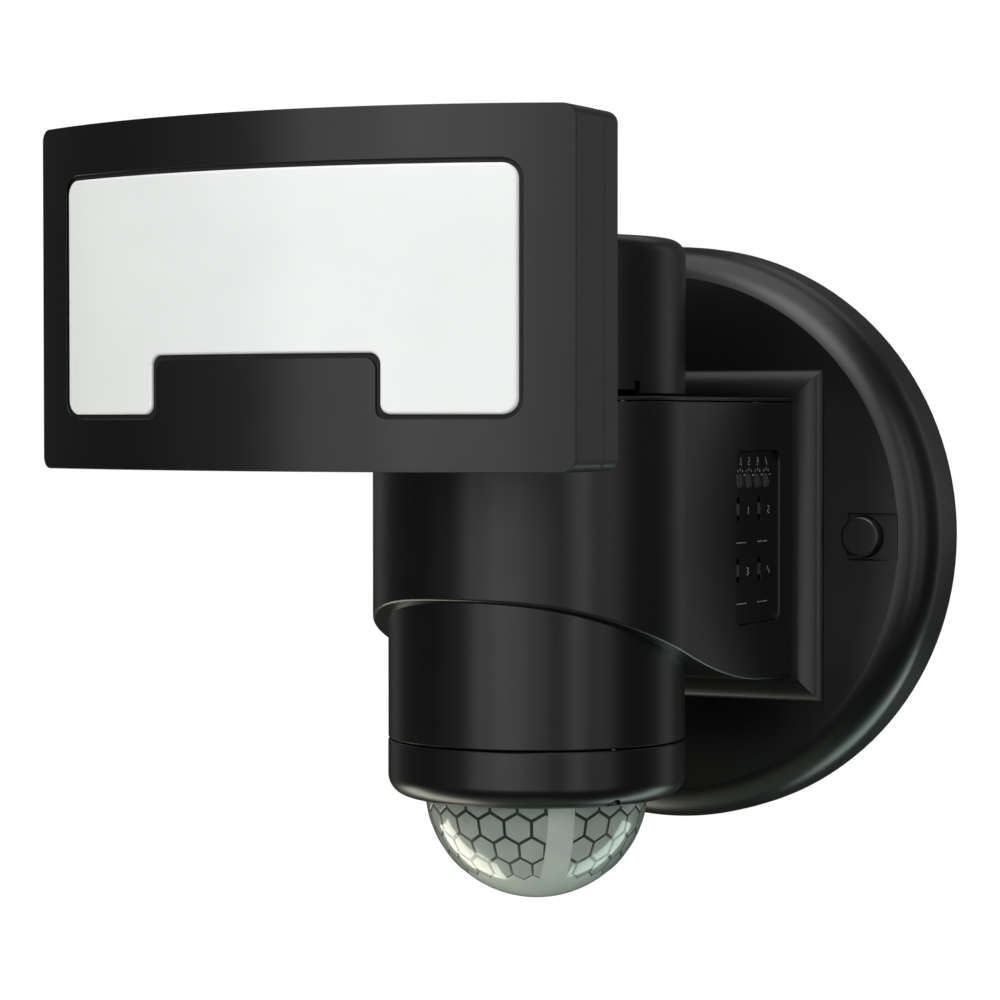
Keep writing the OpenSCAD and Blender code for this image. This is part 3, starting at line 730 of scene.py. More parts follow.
@dataclass
class Wave:
    """The swept lower edge of the body, as height against distance behind the pan axis."""

    start: Flat = (-46.3, -14.4)
    lead: Flat = (-30.0, -16.2)
    sweep: Flat = (8.0, -38.0)
    end: Flat = (50.0, -41.0)
    root: Flat = (76.0, -42.2)
    samples: int = 400

    def height(self, y: float) -> float:
        """Give the edge's height at y."""
        t = np.linspace(0, 1, self.samples)[:, None]
        s, a, b, e = (np.array(p) for p in (self.start, self.lead, self.sweep, self.end))
        curve = (1 - t) ** 3 * s + 3 * t * (1 - t) ** 2 * a + 3 * t * t * (1 - t) * b + t ** 3 * e
        ys, zs = [*curve[:, 0], self.root[0]], [*curve[:, 1], self.root[1]]
        return float(np.interp(y, ys, zs))


@dataclass
class WiringBody:
    """The housing that stands out from the wall plate, with its cover."""

    half_width: float = field(default_factory=lambda: node_box("body_shell")[1].x)
    root: float = field(default_factory=lambda: node_box("body_shell")[1].y - PAN_Y)
    line: float = field(default_factory=lambda: node_box("body_shell")[1].z)
    wave: Wave = field(default_factory=Wave)
    wall: float = 2.5
    drum_radius: float = 42.05
    lip: float = 0.7
    split: float = 0.05
    top_edge: float = 0.3
    bands: int = 9
    root_steps: int = 27
    panel: tuple[Flat, Flat] = ((35.0, -24.5), (66.5, 25.5))
    panel_corner: float = 3.0
    panel_chamfer: float = 0.3
    cover_top: float = 41.0
    cover_inset: float = 0.2
    cover_edge: float = 0.5
    cover_depth: float = 1.4
    bush_hole: float = 17.2
    screw_hole: float = 2.75
    screw_sink: float = 0.9
    screw_places: tuple[Flat, ...] = ((36.0, -20.0), (40.0, 62.0))

    def outline(self, inset: float) -> list[Flat]:
        """Give the plan outline from the right root, round the front, to the left root.

        Args:
            inset: how far it lies inside the outer one.

        Returns:
            Points as x and distance behind the pan axis.
        """
        radius = self.half_width - inset
        side = [(radius, y) for y in np.linspace(self.root, 0, self.root_steps)[:-1]]
        return [*side, *arc((0, 0), radius, 0, -180, 96), *[(-x, y) for x, y in reversed(side)]]

    def inward(self, outline: Sequence[Flat], share: float) -> list[Flat]:
        """Move the outline's points towards the drum's hole, or to the middle behind it.

        Args:
            outline: the plan outline.
            share: 0 at the outline and 1 at the hole.

        Returns:
            The moved points.
        """
        moved = []
        for x, y in outline:
            if y <= 0:
                length = math.hypot(x, y)
                inner = (x * self.drum_radius / length, y * self.drum_radius / length)
            else:
                reach = math.sqrt(max(self.split ** 2, self.drum_radius ** 2 - y * y))
                inner = (math.copysign(reach, x), y)
            moved.append((x + (inner[0] - x) * share, y + (inner[1] - y) * share))
        return moved

    def shell(self) -> bpy.types.Object:
        """Build the housing as rings from its inner top edge, down the outside and back in."""
        flat = self.outline(0)
        rings: list[list[Point]] = []

        def ring(points: Sequence[Flat], height: Callable[[float], float]) -> None:
            """Add one ring of points, each at its own height."""
            rings.append([about_pan_axis((x, y, height(y))) for x, y in points])

        top_edge, lip, wave = self.top_edge, self.lip, self.wave.height
        shoulder = self.line - top_edge
        ring(self.outline(self.wall), lambda y: self.line)
        ring(self.outline(top_edge), lambda y: self.line)
        for dx, dz in arc((0, 0), top_edge, 80, 0, 3):
            ring(self.outline(top_edge - dx), lambda y, dz=dz: shoulder + dz)
        for level in np.linspace(0.0, 1.0, self.bands)[1:-1]:
            ring(flat, lambda y, level=level: shoulder - level * (shoulder - wave(y) - lip))
        for dx, dz in arc((0, 0), lip, 0, -90, 5):
            ring(self.outline(lip - dx), lambda y, dz=dz: wave(y) + lip + dz)
        for share in (0.35, 0.7, 1.0):
            ring(self.inward(flat, share), wave)
        ring(self.inward(flat, 1.0), lambda y: wave(y) + self.wall)
        ring(self.outline(self.wall), lambda y: wave(y) + self.wall)
        points = [p for one in rings for p in one]
        count, last = len(flat), len(rings)
        faces: list[Sequence[int]] = []
        for i in range(last):
            faces += ring_faces(i * count, (i + 1) % last * count, count)[:-1]
        faces += [[i * count + j for i in range(last)] for j in (0, count - 1)]
        return new_piece("body_shell_shown", points, faces)

    def panel_recess(self) -> bpy.types.Object:
        """Build the tool that opens the right side for the panel, with a chamfered mouth."""
        (y0, z0), (y1, z1) = self.panel
        face, rings = self.half_width, []
        for lift, share in ((-self.wall - 1, 0), (-self.panel_chamfer, 0), (0.02, 1), (2, 1)):
            grow = share * self.panel_chamfer
            outline = rounded_rectangle(
                (y0 - grow, z0 - grow), (y1 + grow, z1 + grow), self.panel_corner + grow, 8
            )
            rings.append([about_pan_axis((face + lift, y, z)) for y, z in outline])
        return loft("recess", rings)

    def cover(self) -> bpy.types.Object:
        """Build the flat cover with its screw holes and the hole for the turret's bush."""
        edge, end = self.cover_edge, self.root - self.cover_inset
        levels = [(0.2, self.line + 0.3), (0.0, self.line + 0.45),
                  (0.0, self.line + self.cover_depth - edge)]
        levels += [(edge - dx, self.cover_top - edge + dz)
                   for dx, dz in arc((0, 0), edge, 15, 90, 5)]
        plate = loft("body_cover_shown", [
            [about_pan_axis((x, min(y, end), z)) for x, y in self.outline(self.cover_inset + inset)]
            for inset, z in levels
        ])
        above = self.cover_top + 2
        bush = arc((0, 0), self.bush_hole, 0, 360, 96)[:-1]
        tools = [prism("bush_hole", bush, self.line - 2, above, about_pan_axis)]
        for x, y in self.screw_places:
            for side in (-1, 1):
                hole = arc((side * x, y), self.screw_hole, 0, 360, 40)[:-1]
                sink = self.cover_top - self.screw_sink
                tools.append(prism("screw_hole", hole, sink, above, about_pan_axis))
        combine(plate, tools)
        return plate

    def build(self) -> None:
        """Build the housing and its cover."""
        shell = self.shell()
        combine(shell, [self.panel_recess()])
        settle(shell, 30)
        dress(shell, BLACK_PLASTIC, Body.BASE, ["body_shell"])
        cover = self.cover()
        settle(cover, 30)
        dress(cover, COVER_PLASTIC, Body.BASE, ["body_cover"])


# ---------------------------------------------------------------- controls

@dataclass
class ControlPanel:
    """The sunk panel with four turn adjusters, four slide switches and their printed marks."""

    face: float = field(default_factory=lambda: node_box("control_panel")[1].x)
    stroke: float = 0.28
    print_lift: float = 0.05
    print_root: float = 0.1
    scale_turns: tuple[int, ...] = (-60, -30, 0, 30, 60)
    scale_from: float = 3.0
    scale_to: float = 3.5
    knob_digit: tuple[float, float] = (5.6, 1.9)
    slider_digit: tuple[float, float, float] = (6.6, -0.4, 2.0)
    bar_drop: float = 9.6
    bar_start: float = -1.2
    bar_length: float = 0.7
    bar_pitch: float = 1.5
    bar_count: int = 5

    def bar(self, start: Flat, end: Flat) -> list[list[Point]]:
        """Make a printed stroke.

        Args:
            start: one end, as distance behind the pan axis and height.
            end: the other end.

        Returns:
            Its two rings of points, under and over the panel's face.
        """
        along = Vector((end[0] - start[0], end[1] - start[1])).normalized() * self.stroke / 2
        across = Vector((-along.y, along.x))
        corners = [(start[0] - along.x, start[1] - along.y), (end[0] + along.x, end[1] + along.y)]
        (a, b), (c, d) = corners
        flat = [(a - across.x, b - across.y), (c - across.x, d - across.y),
                (c + across.x, d + across.y), (a + across.x, b + across.y)]
        depths = (self.face - self.print_root, self.face + self.print_lift)
        return [[about_pan_axis((x, y, z)) for y, z in flat] for x in depths]

    def digit(self, value: int, centre: Flat, height: float) -> list[tuple[Flat, Flat]]:
        """Draw a plain digit as strokes.

        Args:
            value: digit from 1 to 4.
            centre: its middle.
            height: its height.

        Returns:
            The strokes.
        """
        h, w = height / 2, height * 0.26
        y, z = centre
        nodes = {"a": (y - w, z + h), "b": (y + w, z + h), "c": (y - w, z), "d": (y + w, z),
                 "e": (y - w, z - h), "f": (y + w, z - h)}
        paths = {1: "bf", 2: "abdcef", 3: "abdcdfe", 4: "acdbf"}
        path = paths[value]
        return [(nodes[p], nodes[q]) for p, q in zip(path, path[1:])]

    def marks(self) -> None:
        """Build the printed scales and numbers as one piece."""
        strokes: list[tuple[Flat, Flat]] = []
        for i in range(1, 5):
            at = middle(f"knob_{i}")
            y, z = at.y - PAN_Y, at.z
            for turn in self.scale_turns:
                up, across = math.cos(math.radians(turn)), -math.sin(math.radians(turn))
                strokes.append(((y + self.scale_from * across, z + self.scale_from * up),
                                (y + self.scale_to * across, z + self.scale_to * up)))
            rise, height = self.knob_digit
            strokes += self.digit(i, (y, z + rise), height)
            at = middle(f"slider_{i}")
            y, z = at.y - PAN_Y, at.z
            right, rise, height = self.slider_digit
            strokes += self.digit(i, (y + right, z + rise), height)
            for step in range(self.bar_count):
                start = y + self.bar_start + step * self.bar_pitch
                low = z - self.bar_drop
                strokes.append(((start, low), (start + self.bar_length, low)))
        points: list[Point] = []
        faces: list[Sequence[int]] = []
        for start, end in strokes:
            lower, upper = self.bar(start, end)
            n = len(points)
            points += [*lower, *upper]
            faces += [range(n, n + 4), range(n + 4, n + 8), *ring_faces(n, n + 4, 4)]
        dress(new_piece("panel_marks", points, faces), PRINT, Body.BASE)

    def build(self) -> None:
        """Dress the panel's nodes and print its marks."""
        soften("control_panel", 0.2)
        paint_nodes(PANEL_PLASTIC, ["control_panel"])
        for i in range(4):
            for node in (f"knob_{i + 1}", f"slider_{i + 1}"):
                soften(node, 0.15)
                paint_nodes(GREY_PLASTIC, [node])
        self.marks()


# ---------------------------------------------------------------- sensor drum

@dataclass
class SensorDrum:
    """The drum under the body, its bezel and the sensor's dome."""

    radius: float = field(default_factory=lambda: node_box("drum_shell")[1].x)
    top: float = field(default_factory=lambda: node_box("drum_shell")[1].z)
    seam: float = field(default_factory=lambda: node_box("drum_shell")[0].z)
    bezel_low: float = field(default_factory=lambda: node_box("drum_bezel")[0].z)
    bezel_high: float = field(default_factory=lambda: node_box("drum_bezel")[1].z)
    bezel_radius: float = field(default_factory=lambda: node_box("drum_bezel")[1].x)
    dome_low: float = field(default_factory=lambda: node_box("dome_lens")[0].z)
    dome_radius: float = 31.7
    edge: float = 6.0
    wall: float = 2.5
    sides: int = 240
    chamfer: float = 0.35
    floor: float = 3.0
    seal_radius: float = 36.0
    mouth: float = 32.2
    mouth_chamfer: Flat = (0.3, 0.25)
    seat: Flat = (5.4, 3.7)
    well_at: float = 38.6
    well_radius: float = 2.1
    cell: float = 7.1
    cells_round: int = 25
    phase: float = 3.1
    row: float = 6.97
    line: float = 0.8
    first_row: float = 15.8
    lens_depth: float = 0.08
    groove_depth: float = 0.07
    lens_rise: Flat = (0.04, 0.06)
    lens_middle: float = 0.55
    core_depth: float = 0.2
    core_wall: float = 1.0
    lens_thickness: float = 0.12
    band_half: float = 3.8
    band_turn: float = 40.0

    @property
    def dome_centre(self) -> float:
        """Height of the dome's centre."""
        return self.dome_low + self.dome_radius

    def shell(self) -> None:
        """Build the drum's wall with a fine chamfer at the seam."""
        r, c, inside = self.radius, self.chamfer, self.radius - self.wall
        level = self.seam + self.floor
        profile = [(r, self.top), (r, self.seam + c), (r - c, self.seam),
                   (self.seal_radius, self.seam), (self.seal_radius, level), (inside, level),
                   (inside, self.top)]
        drum = revolve("drum_shell_shown", profile, self.sides, about_pan_axis)
        settle(drum)
        dress(drum, BLACK_PLASTIC, Body.BASE, ["drum_shell"])

    def bezel(self) -> None:
        """Build the bezel: a round lower edge, a flat face and a small step round the dome."""
        r, c, low, high = self.bezel_radius, self.chamfer, self.bezel_low, self.bezel_high
        wide, rise = self.mouth_chamfer
        profile = [(self.mouth, low + rise), (self.mouth + wide, low),
                   *arc((r - self.edge, low + self.edge), self.edge, -90, 0, 24),
                   (r, high - c), (r - c, high), (self.seal_radius, high),
                   (self.seal_radius, low + self.seat[0]), (self.mouth, low + self.seat[1])]
        ring = revolve("drum_bezel_shown", profile, self.sides, about_pan_axis)
        wells = []
        for turn in (0, 120, 240):
            angle = math.radians(turn)
            at = (-self.well_at * math.sin(angle), self.well_at * math.cos(angle))
            well = arc(at, self.well_radius, 0, 360, 32)[:-1]
            wells.append(prism("screw_well", well, low - 2, low + 6, about_pan_axis))
        combine(ring, wells)
        settle(ring)
        dress(ring, BLACK_PLASTIC, Body.BASE, ["drum_bezel"])

    def on_dome(self, turn: float, drop: float, radius: float) -> Point:
        """Give a point on a sphere about the dome's centre.

        Args:
            turn: angle round the axis from the front, in radians.
            drop: angle below the widest circle, in radians.
            radius: radius of the sphere.

        Returns:
            The point in the row frame.
        """
        reach, height = radius * math.cos(drop), self.dome_centre - radius * math.sin(drop)
        return about_pan_axis((reach * math.sin(turn), -reach * math.cos(turn), height))

    def core(self) -> bpy.types.Object:
        """Build the hollow half sphere under the lenses, open at the top."""
        def half(radius: float, steps: int) -> list[Flat]:
            """Give one side of the section, from its edge to the axis."""
            centre = self.dome_centre
            turns = np.radians(np.linspace(-2, 90, steps))[:-1]
            around = [(radius * math.cos(a), centre - radius * math.sin(a)) for a in turns]
            return [*around, (0.0, centre - radius)]

        outer = self.dome_radius - self.core_depth
        profile = [*half(outer, 56), *reversed(half(outer - self.core_wall, 40))]
        return revolve("dome_core", profile, 144, about_pan_axis)

    def corner(self, index: int) -> Flat:
        """Give one of the twelve points round a cell: its corners and the middles of its sides."""
        first, second = (math.radians(60 * (index // 2) + start) for start in (30, 90))
        mix = 0.5 * (index % 2)
        return (math.cos(first) * (1 - mix) + math.cos(second) * mix,
                math.sin(first) * (1 - mix) + math.sin(second) * mix)

    def cells(self) -> bpy.types.Object:
        """Build the honeycomb of lenses: each a pillow with a dark groove round it."""
        sphere = self.dome_radius - self.lens_depth
        pitch = 2 * math.pi / self.cells_round
        across, down = pitch / math.sqrt(3), self.row / 1.5 / self.dome_radius
        edge = 1 - self.line / self.cell
        rings = [(1.0, -self.groove_depth), (edge, -self.groove_depth), (edge - 0.02, 0.0),
                 (self.lens_middle, self.lens_rise[0])]
        corners = [self.corner(index) for index in range(12)]
        points: list[Point] = []
        faces: list[Sequence[int]] = []
        for row in range(-1, 3):
            middle_drop = math.radians(self.first_row) + row * self.row / self.dome_radius
            for k in range(self.cells_round):
                turn = (k + (row % 2) * 0.5) * pitch + math.radians(self.phase)
                n = len(points)
                for share, lift in rings:
                    for u, v in corners:
                        drop = min(math.radians(89), middle_drop + v * share * down)
                        points.append(self.on_dome(turn + u * share * across, drop, sphere + lift))
                points.append(self.on_dome(turn, middle_drop, sphere + self.lens_rise[1]))
                for ring in range(3):
                    faces += ring_faces(n + ring * 12, n + ring * 12 + 12, 12)
                faces += [(n + 36 + j, n + 36 + (j + 1) % 12, n + 48) for j in range(12)]
        return new_piece("lens_cells", points, faces)

    def build(self) -> None:
        """Build the drum, the bezel and the layers of the dome."""
        self.shell()
        self.bezel()
        self.dome()

    def dome(self) -> None:
        """Build the dome's frosted core and the lenses moulded on it."""
        core = self.core()
        settle(core)
        dress(core, LENS_FROST, Body.BASE, ["dome_lens"])
        cells = self.cells()
        dress(cells, LENS_FILM, Body.BASE)
        cells.data.materials.append(LENS_LINE.material())
        self.trim_cells(cells)

    def trim_cells(self, piece: bpy.types.Object) -> None:
        """Paint the grooves dark and cut the plain bands out of the honeycomb.

        Args:
            piece: the honeycomb.
        """
        shape = bmesh.new()
        shape.from_mesh(piece.data)
        centre = Vector((0, PAN_Y, self.dome_centre)) * MM
        groove = (self.dome_radius - self.lens_depth - self.groove_depth / 2) * MM
        for face in shape.faces:
            low = sum((vert.co - centre).length < groove for vert in face.verts)
            face.material_index = 1 if low >= 3 else 0
        for index in range(3):
            turn = math.radians(self.band_turn + 120 * index)
            outward = Vector((math.sin(turn), -math.cos(turn), 0))
            across = Vector((math.cos(turn), math.sin(turn), 0))
            for side in (-1, 1):
                slice_at(shape, centre + across * side * self.band_half * MM, across)
            gone = []
            for face in shape.faces:
                offset = face.calc_center_median() - centre
                if abs(offset.dot(across)) < self.band_half * MM and offset.dot(outward) > 0:
                    gone.append(face)
            bmesh.ops.delete(shape, geom=gone, context="FACES")
        bmesh.ops.recalc_face_normals(shape, faces=shape.faces)
        for face in shape.faces:
            if face.normal.dot(face.calc_center_median() - centre) < 0:
                face.normal_flip()
        shape.to_mesh(piece.data)
        shape.free()
        thick = piece.modifiers.new("depth", "SOLIDIFY")
        thick.thickness = self.lens_thickness * MM
        thick.offset = -1
        bake(piece)
        piece.data.shade_smooth()
        piece.data.set_sharp_from_angle(angle=math.radians(30))


# ---------------------------------------------------------------- turret

@dataclass
class Turret:
    """The turning cap on top of the body."""

    radius: float = field(default_factory=lambda: node_box("turret_shell")[1].x)
    low: float = field(default_factory=lambda: node_box("turret_shell")[0].z)
    top: float = field(default_factory=lambda: node_box("turret_shell")[1].z)
    edge: float = 4.8
    wall: float = 2.5
    chamfer: float = 0.3
    front_rise: float = 1.3
    stop_angle: float = 68.0
    stop_half: float = 0.9
    stop_rise: float = 3.6
    rim: Flat = (30.0, 50.0)
    stop_reach: Flat = (36.0, 46.0)

    def build(self) -> None:
        """Build the shell, raise its rim round the front and cut the two stops."""
        centre = (self.radius - self.edge, self.top - self.edge)
        outer = [(self.radius - self.chamfer, self.low), (self.radius, self.low + self.chamfer),
                 *arc(centre, self.edge, 0, 90, 26), (0.0, self.top)]
        inner = [(0.0, self.top - self.wall), *arc(centre, self.edge - self.wall, 90, 0, 10),
                 (self.radius - self.wall, self.low)]
        shell = revolve("turret_shell_shown", [*outer, *inner], 240, about_pan_axis)
        span = math.radians(self.stop_angle)
        turns = np.linspace(-span, span, 60)
        wedge = [(self.rim[0] * math.sin(a), -self.rim[0] * math.cos(a)) for a in turns]
        wedge += [(self.rim[1] * math.sin(a), -self.rim[1] * math.cos(a)) for a in reversed(turns)]
        below = self.low - 2
        tools = [prism("front_rim", wedge, below, self.low + self.front_rise, about_pan_axis)]
        for a in (-span, span):
            outward = Vector((math.sin(a), -math.cos(a)))
            across = Vector((math.cos(a), math.sin(a)))
            (near, far), half = self.stop_reach, self.stop_half
            sides = ((near, -half), (far, -half), (far, half), (near, half))
            corners = [tuple(outward * reach + across * width) for reach, width in sides]
            tools.append(prism("stop", corners, below, self.low + self.stop_rise, about_pan_axis))
        combine(shell, tools)
        settle(shell)
        dress(shell, BLACK_PLASTIC, Body.TURRET, ["turret_shell"])


# ---------------------------------------------------------------- lamp head

@dataclass
class LampHead:
    """The curved lamp: a window frame, an opal diffuser, a seal and the rear case."""

    half_width: float = field(default_factory=lambda: node_box("lamp_frame")[1].x)
    low: float = field(default_factory=lambda: node_box("lamp_frame")[0].z)
    high: float = field(default_factory=lambda: node_box("lamp_frame")[1].z)
    front: float = field(default_factory=lambda: node_box("lamp_frame")[0].y)
    curve_radius: float = 166.85
    slice_width: float = 2.5
    edge: float = 0.55
    frame_depth: float = 14.8
    case_start: float = 15.5
    depth: float = 22.6
    face: float = 2.6
    wall: float = 2.5
    corner: float = 3.0
    least_corner: float = 0.6
    window: tuple[Flat, Flat] = ((-64.8, 35.3), (64.8, 95.6))
    window_corner: float = 4.3
    notch: Flat = (31.9, 49.9)
    notch_corner: float = 2.8
    notch_foot: float = 2.4
    cable_way: float = 12.0
    gap: float = 0.6
    relief: float = 0.6
    proud: float = 0.4

    def bend(self, piece: bpy.types.Object) -> None:
        """Slice a flat piece finely and lay it along the lamp's curve.

        Args:
            piece: piece with x across, y as depth behind the front face and z up.
        """
        shape = bmesh.new()
        shape.from_mesh(piece.data)
        count = int(self.half_width / self.slice_width)
        for index in range(-count, count + 1):
            slice_at(shape, (index * self.slice_width * MM, 0, 0), (1, 0, 0))
        radius = self.curve_radius * MM
        for vert in shape.verts:
            vert.co.y += self.front * MM + radius - math.sqrt(radius * radius - vert.co.x ** 2)
        shape.to_mesh(piece.data)
        shape.free()

    def outline(self, inset: float) -> list[Flat]:
        """Give the lamp's outline, moved in by inset."""
        half = self.half_width - inset
        low, high = (-half, self.low + inset), (half, self.high - inset)
        return rounded_rectangle(low, high, max(self.least_corner, self.corner - inset), 8)

    def window_outline(self, inset: float) -> list[Flat]:
        """Give the window's outline with the notch in its lower edge.

        Args:
            inset: how far the outline lies inside the opening.

        Returns:
            The outline, anticlockwise from the notch's right foot.
        """
        (_, z0), (x1, z1) = self.window
        x1, z0, z1 = x1 - inset, z0 + inset, z1 - inset
        r, foot, nr = self.window_corner - inset, self.notch_foot, self.notch_corner
        nx, nz = self.notch[0] + inset, self.notch[1] + inset
        right = [*arc((nx + foot, z0 + foot), foot, 180, 270, 6),
                 *arc((x1 - r, z0 + r), r, -90, 0, 8), *arc((x1 - r, z1 - r), r, 0, 90, 8)]
        top = arc((nx - nr, nz - nr), nr, 90, 0, 7)
        left = [(-x, z) for x, z in [*reversed(right), *reversed(top)]]
        return [*right, *left, *top]

    def slab(
        self, name: str, outline: Sequence[Flat], start: float, end: float
    ) -> bpy.types.Object:
        """Draw an outline out in depth, still flat."""
        return prism(name, outline, start, end, lambda p: (p[0], p[2], p[1]))

    def frame_piece(self) -> None:
        """Build the window frame."""
        piece = self.slab("lamp_frame_shown", self.outline(0), 0, self.frame_depth)
        inside = self.slab("inside", self.outline(self.wall), self.face, self.frame_depth + 5)
        window = self.slab("window", self.window_outline(-self.relief), -5, self.face + 5)
        combine(piece, [inside, window])
        round_edges(piece, self.edge)
        self.bend(piece)
        settle(piece, 25)
        dress(piece, BLACK_PLASTIC, Body.LAMP, ["lamp_frame"])

    def trim(self) -> None:
        """Build the dark rubber edge that fills the gap between the frame and the diffuser."""
        start, end, slack = 0.7, self.face + 0.02, 0.02
        piece = self.slab("lamp_trim", self.window_outline(slack - self.relief), start, end)
        inner = self.slab("inner", self.window_outline(self.gap - slack), start - 1, end + 1)
        combine(piece, [inner])
        self.bend(piece)
        settle(piece, 25)
        dress(piece, RUBBER, Body.LAMP)

    def diffuser(self) -> None:
        """Build the diffuser: a pane a little proud of the frame, on a wider plate behind."""
        pane, plate = self.window_outline(self.gap), self.outline(self.wall + 0.3)
        piece = self.slab("lamp_diffuser_shown", pane, -self.proud, self.face + 0.3)
        round_edges(piece, 0.7, 4)
        self.bend(piece)
        back = self.slab("diffuser_back", plate, self.face + 0.05, self.face + 2)
        self.bend(back)
        combine(piece, [back], "UNION")
        settle(piece, 25)
        # the opal finish carries painted light: a glow that brightens the diffuser in place of
        # light falling on it
        dress(piece, OPAL, Body.LAMP, ["lamp_diffuser"])

    def case(self) -> None:
        """Build the rear case with a round back edge."""
        piece = self.slab("lamp_case_shown", self.outline(0.05), self.case_start, self.depth)
        start, end = self.case_start - 5, self.depth - self.wall
        inside = self.slab("inside", self.outline(self.wall), start, end)
        half, z = self.cable_way, TILT_AT.z
        hole = rounded_rectangle((-half, z - half), (half, z + half), 2)
        way = self.slab("cable_way", hole, 10, 40)
        combine(piece, [inside, way])
        round_edges(piece, 0.5)
        self.bend(piece)
        settle(piece, 25)
        dress(piece, BLACK_PLASTIC, Body.LAMP, ["lamp_case"])

    def build(self) -> None:
        """Build the lamp's outer pieces."""
        self.frame_piece()
        self.trim()
        self.diffuser()
        self.case()
        soften("heat_sink", 0.35)
        paint_nodes(ALUMINIUM, ["heat_sink"])
        soften("driver_housing", 1.2, 3)
        paint_nodes(BLACK_PLASTIC, ["driver_housing"])


class TiltHinge:
    """The fork on the turret, the lamp's tongue, the bolt and its clamp knob."""

    def build(self) -> None:
        """Dress the hinge's nodes."""
        for node, width in (("tilt_bracket", 0.8), ("tilt_knuckle", 0.8), ("clamp_knob", 0.5)):
            soften(node, width, 3)
            paint_nodes(BLACK_PLASTIC, [node])
        soften("tilt_bolt", 0.3)
        paint_nodes(ZINC, ["tilt_bolt"])
        paint_nodes(ACETAL, ["friction_washers"])


# ---------------------------------------------------------------- insides

class Insides(Enum):
    """Finish of every node that stays as it is."""

    RUBBER_PARTS = (RUBBER, ("wall_gasket", "cable_grommet", "dome_seal", "lamp_seal"))
    STEEL = (ZINC, ("back_plate", "back_plate_screws", "body_screws", "cover_screws",
                    "motor_bracket", "motor_screws", "pan_motor", "bezel_screws", "spindle_clip",
                    "turret_screws", "heat_sensors"))
    BRASS_PARTS = (BRASS, ("terminal_screws", "earth_screw", "board_spacers"))
    BOARDS = (BOARD, ("main_board", "control_board", "sensor_board"))
    LED_BOARDS = (WHITE_BOARD, ("led_boards",))
    LEDS = (LED_PHOSPHOR, ("led_chips", "daylight_sensor"))
    GEARS = (ACETAL, ("turret_bush", "turret_gear", "motor_pinion"))
    PLASTICS = (BLACK_PLASTIC, ("turret_base",))
    BLUE = (BLUE_PLASTIC, ("control_parts", "board_parts"))
    YELLOW = (YELLOW_TAPE, ("led_driver",))
    TERMINALS = (TERMINAL, ("terminal_block",))

    def paint(self) -> None:
        """Paint this group's nodes."""
        finish, nodes = self.value
        paint_nodes(finish, nodes)


# ---------------------------------------------------------------- studio

def direction(turn: float, rise: float) -> Vector:
    """Give the way out to a place round the object.

    Args:
        turn: degrees to the right of the front.
        rise: degrees above the level.

    Returns:
        A unit vector.
    """
    a, e = math.radians(turn), math.radians(rise)
    return Vector((math.sin(a) * math.cos(e), -math.cos(a) * math.cos(e), math.sin(e)))


@dataclass(frozen=True)
class SoftBox:
    """A rectangular studio light that faces the object."""

    name: str
    turn: float
    rise: float
    distance: float
    width: float
    height: float
    power: float
    colour: Colour = WHITE

    def build(self, aim: Vector) -> None:
        """Hang the light.

        Args:
            aim: the point that it faces, in metres.
        """
        data = bpy.data.lights.new(self.name, "AREA")
        data.shape = "RECTANGLE"
        data.size, data.size_y = self.width, self.height
        data.energy = self.power
        data.color = self.colour
        light = bpy.data.objects.new(self.name, data)
        away = direction(self.turn, self.rise)
        light.location = aim + away * self.distance
        light.rotation_mode = "QUATERNION"
        light.rotation_quaternion = (-away).to_track_quat("-Z", "Y")
        bpy.context.scene.collection.objects.link(light)


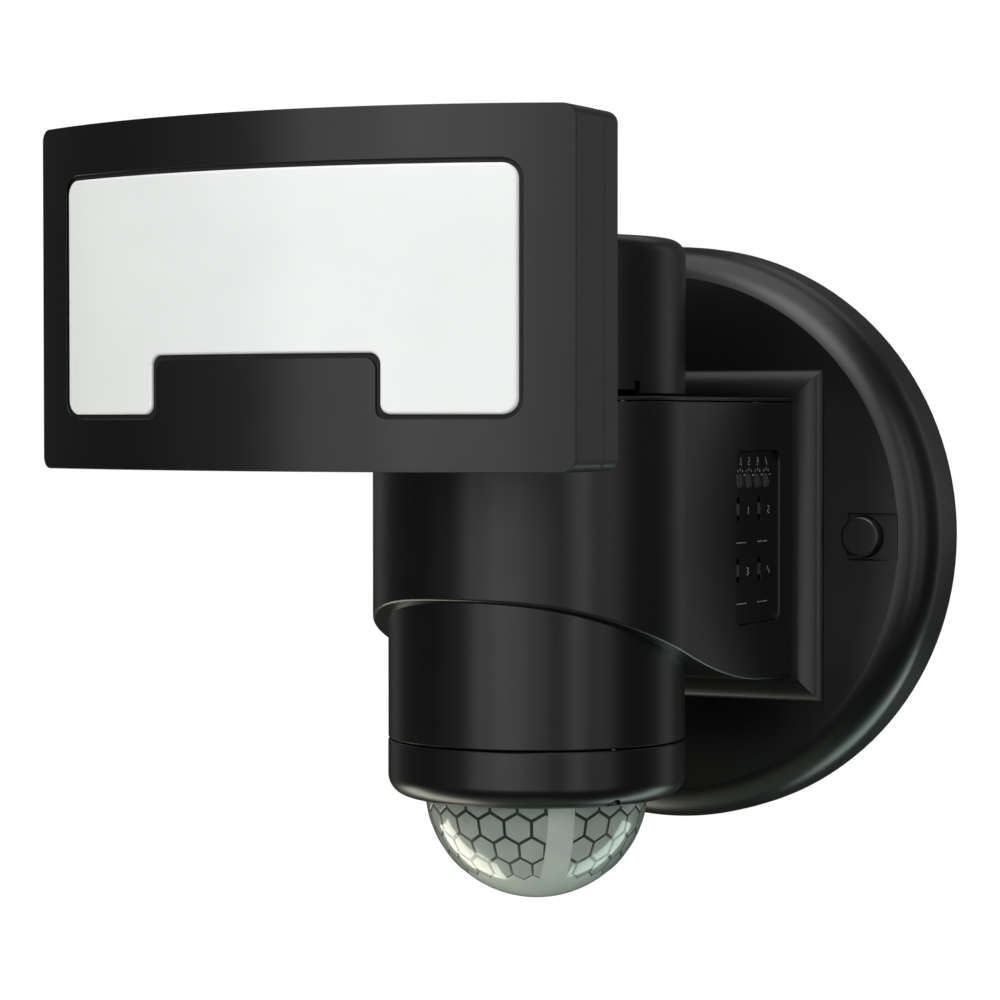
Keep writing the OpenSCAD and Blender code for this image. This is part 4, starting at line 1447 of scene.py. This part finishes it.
@dataclass
class Studio:
    """Pale floor, soft lights and the camera."""

    aim: Point = (-9.2, -109.75, 11.9)
    azimuth: float = 27.907
    elevation: float = 1.472
    distance: float = 881.24
    lens: float = 112.14
    floor_drop: float = 1700.0
    floor_half: float = 30000.0
    floor_colour: Colour = (0.16, 0.18, 0.16)
    room_colour: Colour = (0.95, 1.0, 0.97)
    room_strength: float = 0.10
    white: float = 1.02
    boxes: tuple[SoftBox, ...] = (
        SoftBox("left_fill", -43, 6, 1.5, 0.3, 1.4, 0.25),
        SoftBox("front_left", -17, 7, 1.5, 0.3, 1.4, 2.4),
        SoftBox("front", 0, 7, 1.5, 0.3, 1.4, 3.0),
        SoftBox("front_right", 15, 7, 1.5, 0.3, 1.4, 2.5),
        SoftBox("right", 31, 6, 1.5, 0.3, 1.4, 1.6),
        SoftBox("far_right", 58, 5, 1.5, 0.3, 1.4, 2.6),
        SoftBox("right_side", 80, 5, 1.5, 0.3, 1.4, 1.3),
        SoftBox("right_rim", 145, 5, 1.5, 0.5, 1.4, 0.85),
        SoftBox("left_rim", -112, 5, 1.5, 0.5, 1.4, 0.4),
        SoftBox("top", 0, 80, 1.4, 1.4, 1.4, 9.5),
        SoftBox("top_front", 10, 45, 1.5, 0.8, 0.7, 8.0),
        SoftBox("top_back", 170, 50, 1.5, 0.8, 0.7, 0.9),
        SoftBox("dome_left", -97, -46, 1.2, 0.5, 0.9, 6.5, (1.0, 1.0, 0.84)),
        SoftBox("dome_right", 146, -46, 1.2, 0.4, 0.9, 3.5, (0.8, 1.0, 0.92)),
        SoftBox("floor_glow", 0, -80, 1.2, 1.0, 1.0, 1.2, (0.86, 1.0, 0.82)),
    )

    def camera(self) -> None:
        """Set up the camera."""
        back = direction(self.azimuth, self.elevation)
        data = bpy.data.cameras.new("camera")
        data.sensor_width = 36
        data.lens = self.lens
        data.clip_start, data.clip_end = 0.05, 60
        camera = bpy.data.objects.new("camera", data)
        camera.location = (Vector(self.aim) + back * self.distance) * MM
        turn = (math.radians(90 - self.elevation), 0, math.radians(self.azimuth))
        camera.rotation_euler = Euler(turn)
        bpy.context.scene.collection.objects.link(camera)
        bpy.context.scene.camera = camera

    def two_faced(self, tree: bpy.types.NodeTree, white: Shade, dim: Shade, output: str) -> None:
        """Show one shader to the camera and another to everything else.

        Args:
            tree: the node tree that is filled.
            white: what the camera sees: node type, output, colour and strength.
            dim: what everything else meets.
            output: type of the output node.
        """
        nodes, links = tree.nodes, tree.links
        nodes.clear()
        out, mix = nodes.new(output), nodes.new("ShaderNodeMixShader")
        ray = nodes.new("ShaderNodeLightPath")
        links.new(ray.outputs["Is Camera Ray"], mix.inputs["Fac"])
        for slot, (kind, socket, colour, strength) in ((1, dim), (2, white)):
            shader = nodes.new(kind)
            shader.inputs["Color"].default_value = (*colour, 1)
            if strength:
                shader.inputs["Strength"].default_value = strength
            links.new(shader.outputs[socket], mix.inputs[slot])
        links.new(mix.outputs["Shader"], out.inputs["Surface"])

    def floor(self) -> None:
        """Lay a wide pale floor, which shows white and throws little light back."""
        low, half = CAD_BOX[0].z / MM - self.floor_drop, self.floor_half
        points = [(-half, -half, low), (half, -half, low), (half, half, low), (-half, half, low)]
        floor = new_piece("studio_floor", points, [[0, 1, 2, 3]])
        made = bpy.data.materials.new("studio_floor")
        made.use_nodes = True
        self.two_faced(made.node_tree, ("ShaderNodeEmission", "Emission", WHITE, self.white),
                       ("ShaderNodeBsdfDiffuse", "BSDF", self.floor_colour, 0.0),
                       "ShaderNodeOutputMaterial")
        floor.data.materials.append(made)

    def surroundings(self) -> None:
        """Make the room: white where the camera sees it, dim for everything else."""
        world = bpy.data.worlds.new("studio")
        bpy.context.scene.world = world
        world.use_nodes = True
        background = ("ShaderNodeBackground", "Background")
        self.two_faced(world.node_tree, (*background, WHITE, self.white),
                       (*background, self.room_colour, self.room_strength),
                       "ShaderNodeOutputWorld")

    def build(self) -> None:
        """Build the whole studio."""
        bpy.context.scene.view_settings.view_transform = "Standard"
        self.camera()
        self.floor()
        self.surroundings()
        for box in self.boxes:
            box.build(Vector(self.aim) * MM)


def main() -> None:
    """Build the floodlight's looks in order."""
    logging.basicConfig(level=logging.INFO, format="%(name)s: %(message)s")
    Studio().build()
    for group in Insides:
        group.paint()
    parts = (
        WallPlate(), WiringBody(), ControlPanel(), SensorDrum(), Turret(), TiltHinge(), LampHead()
    )
    for part in parts:
        part.build()


if __name__ == "__main__":
    main()
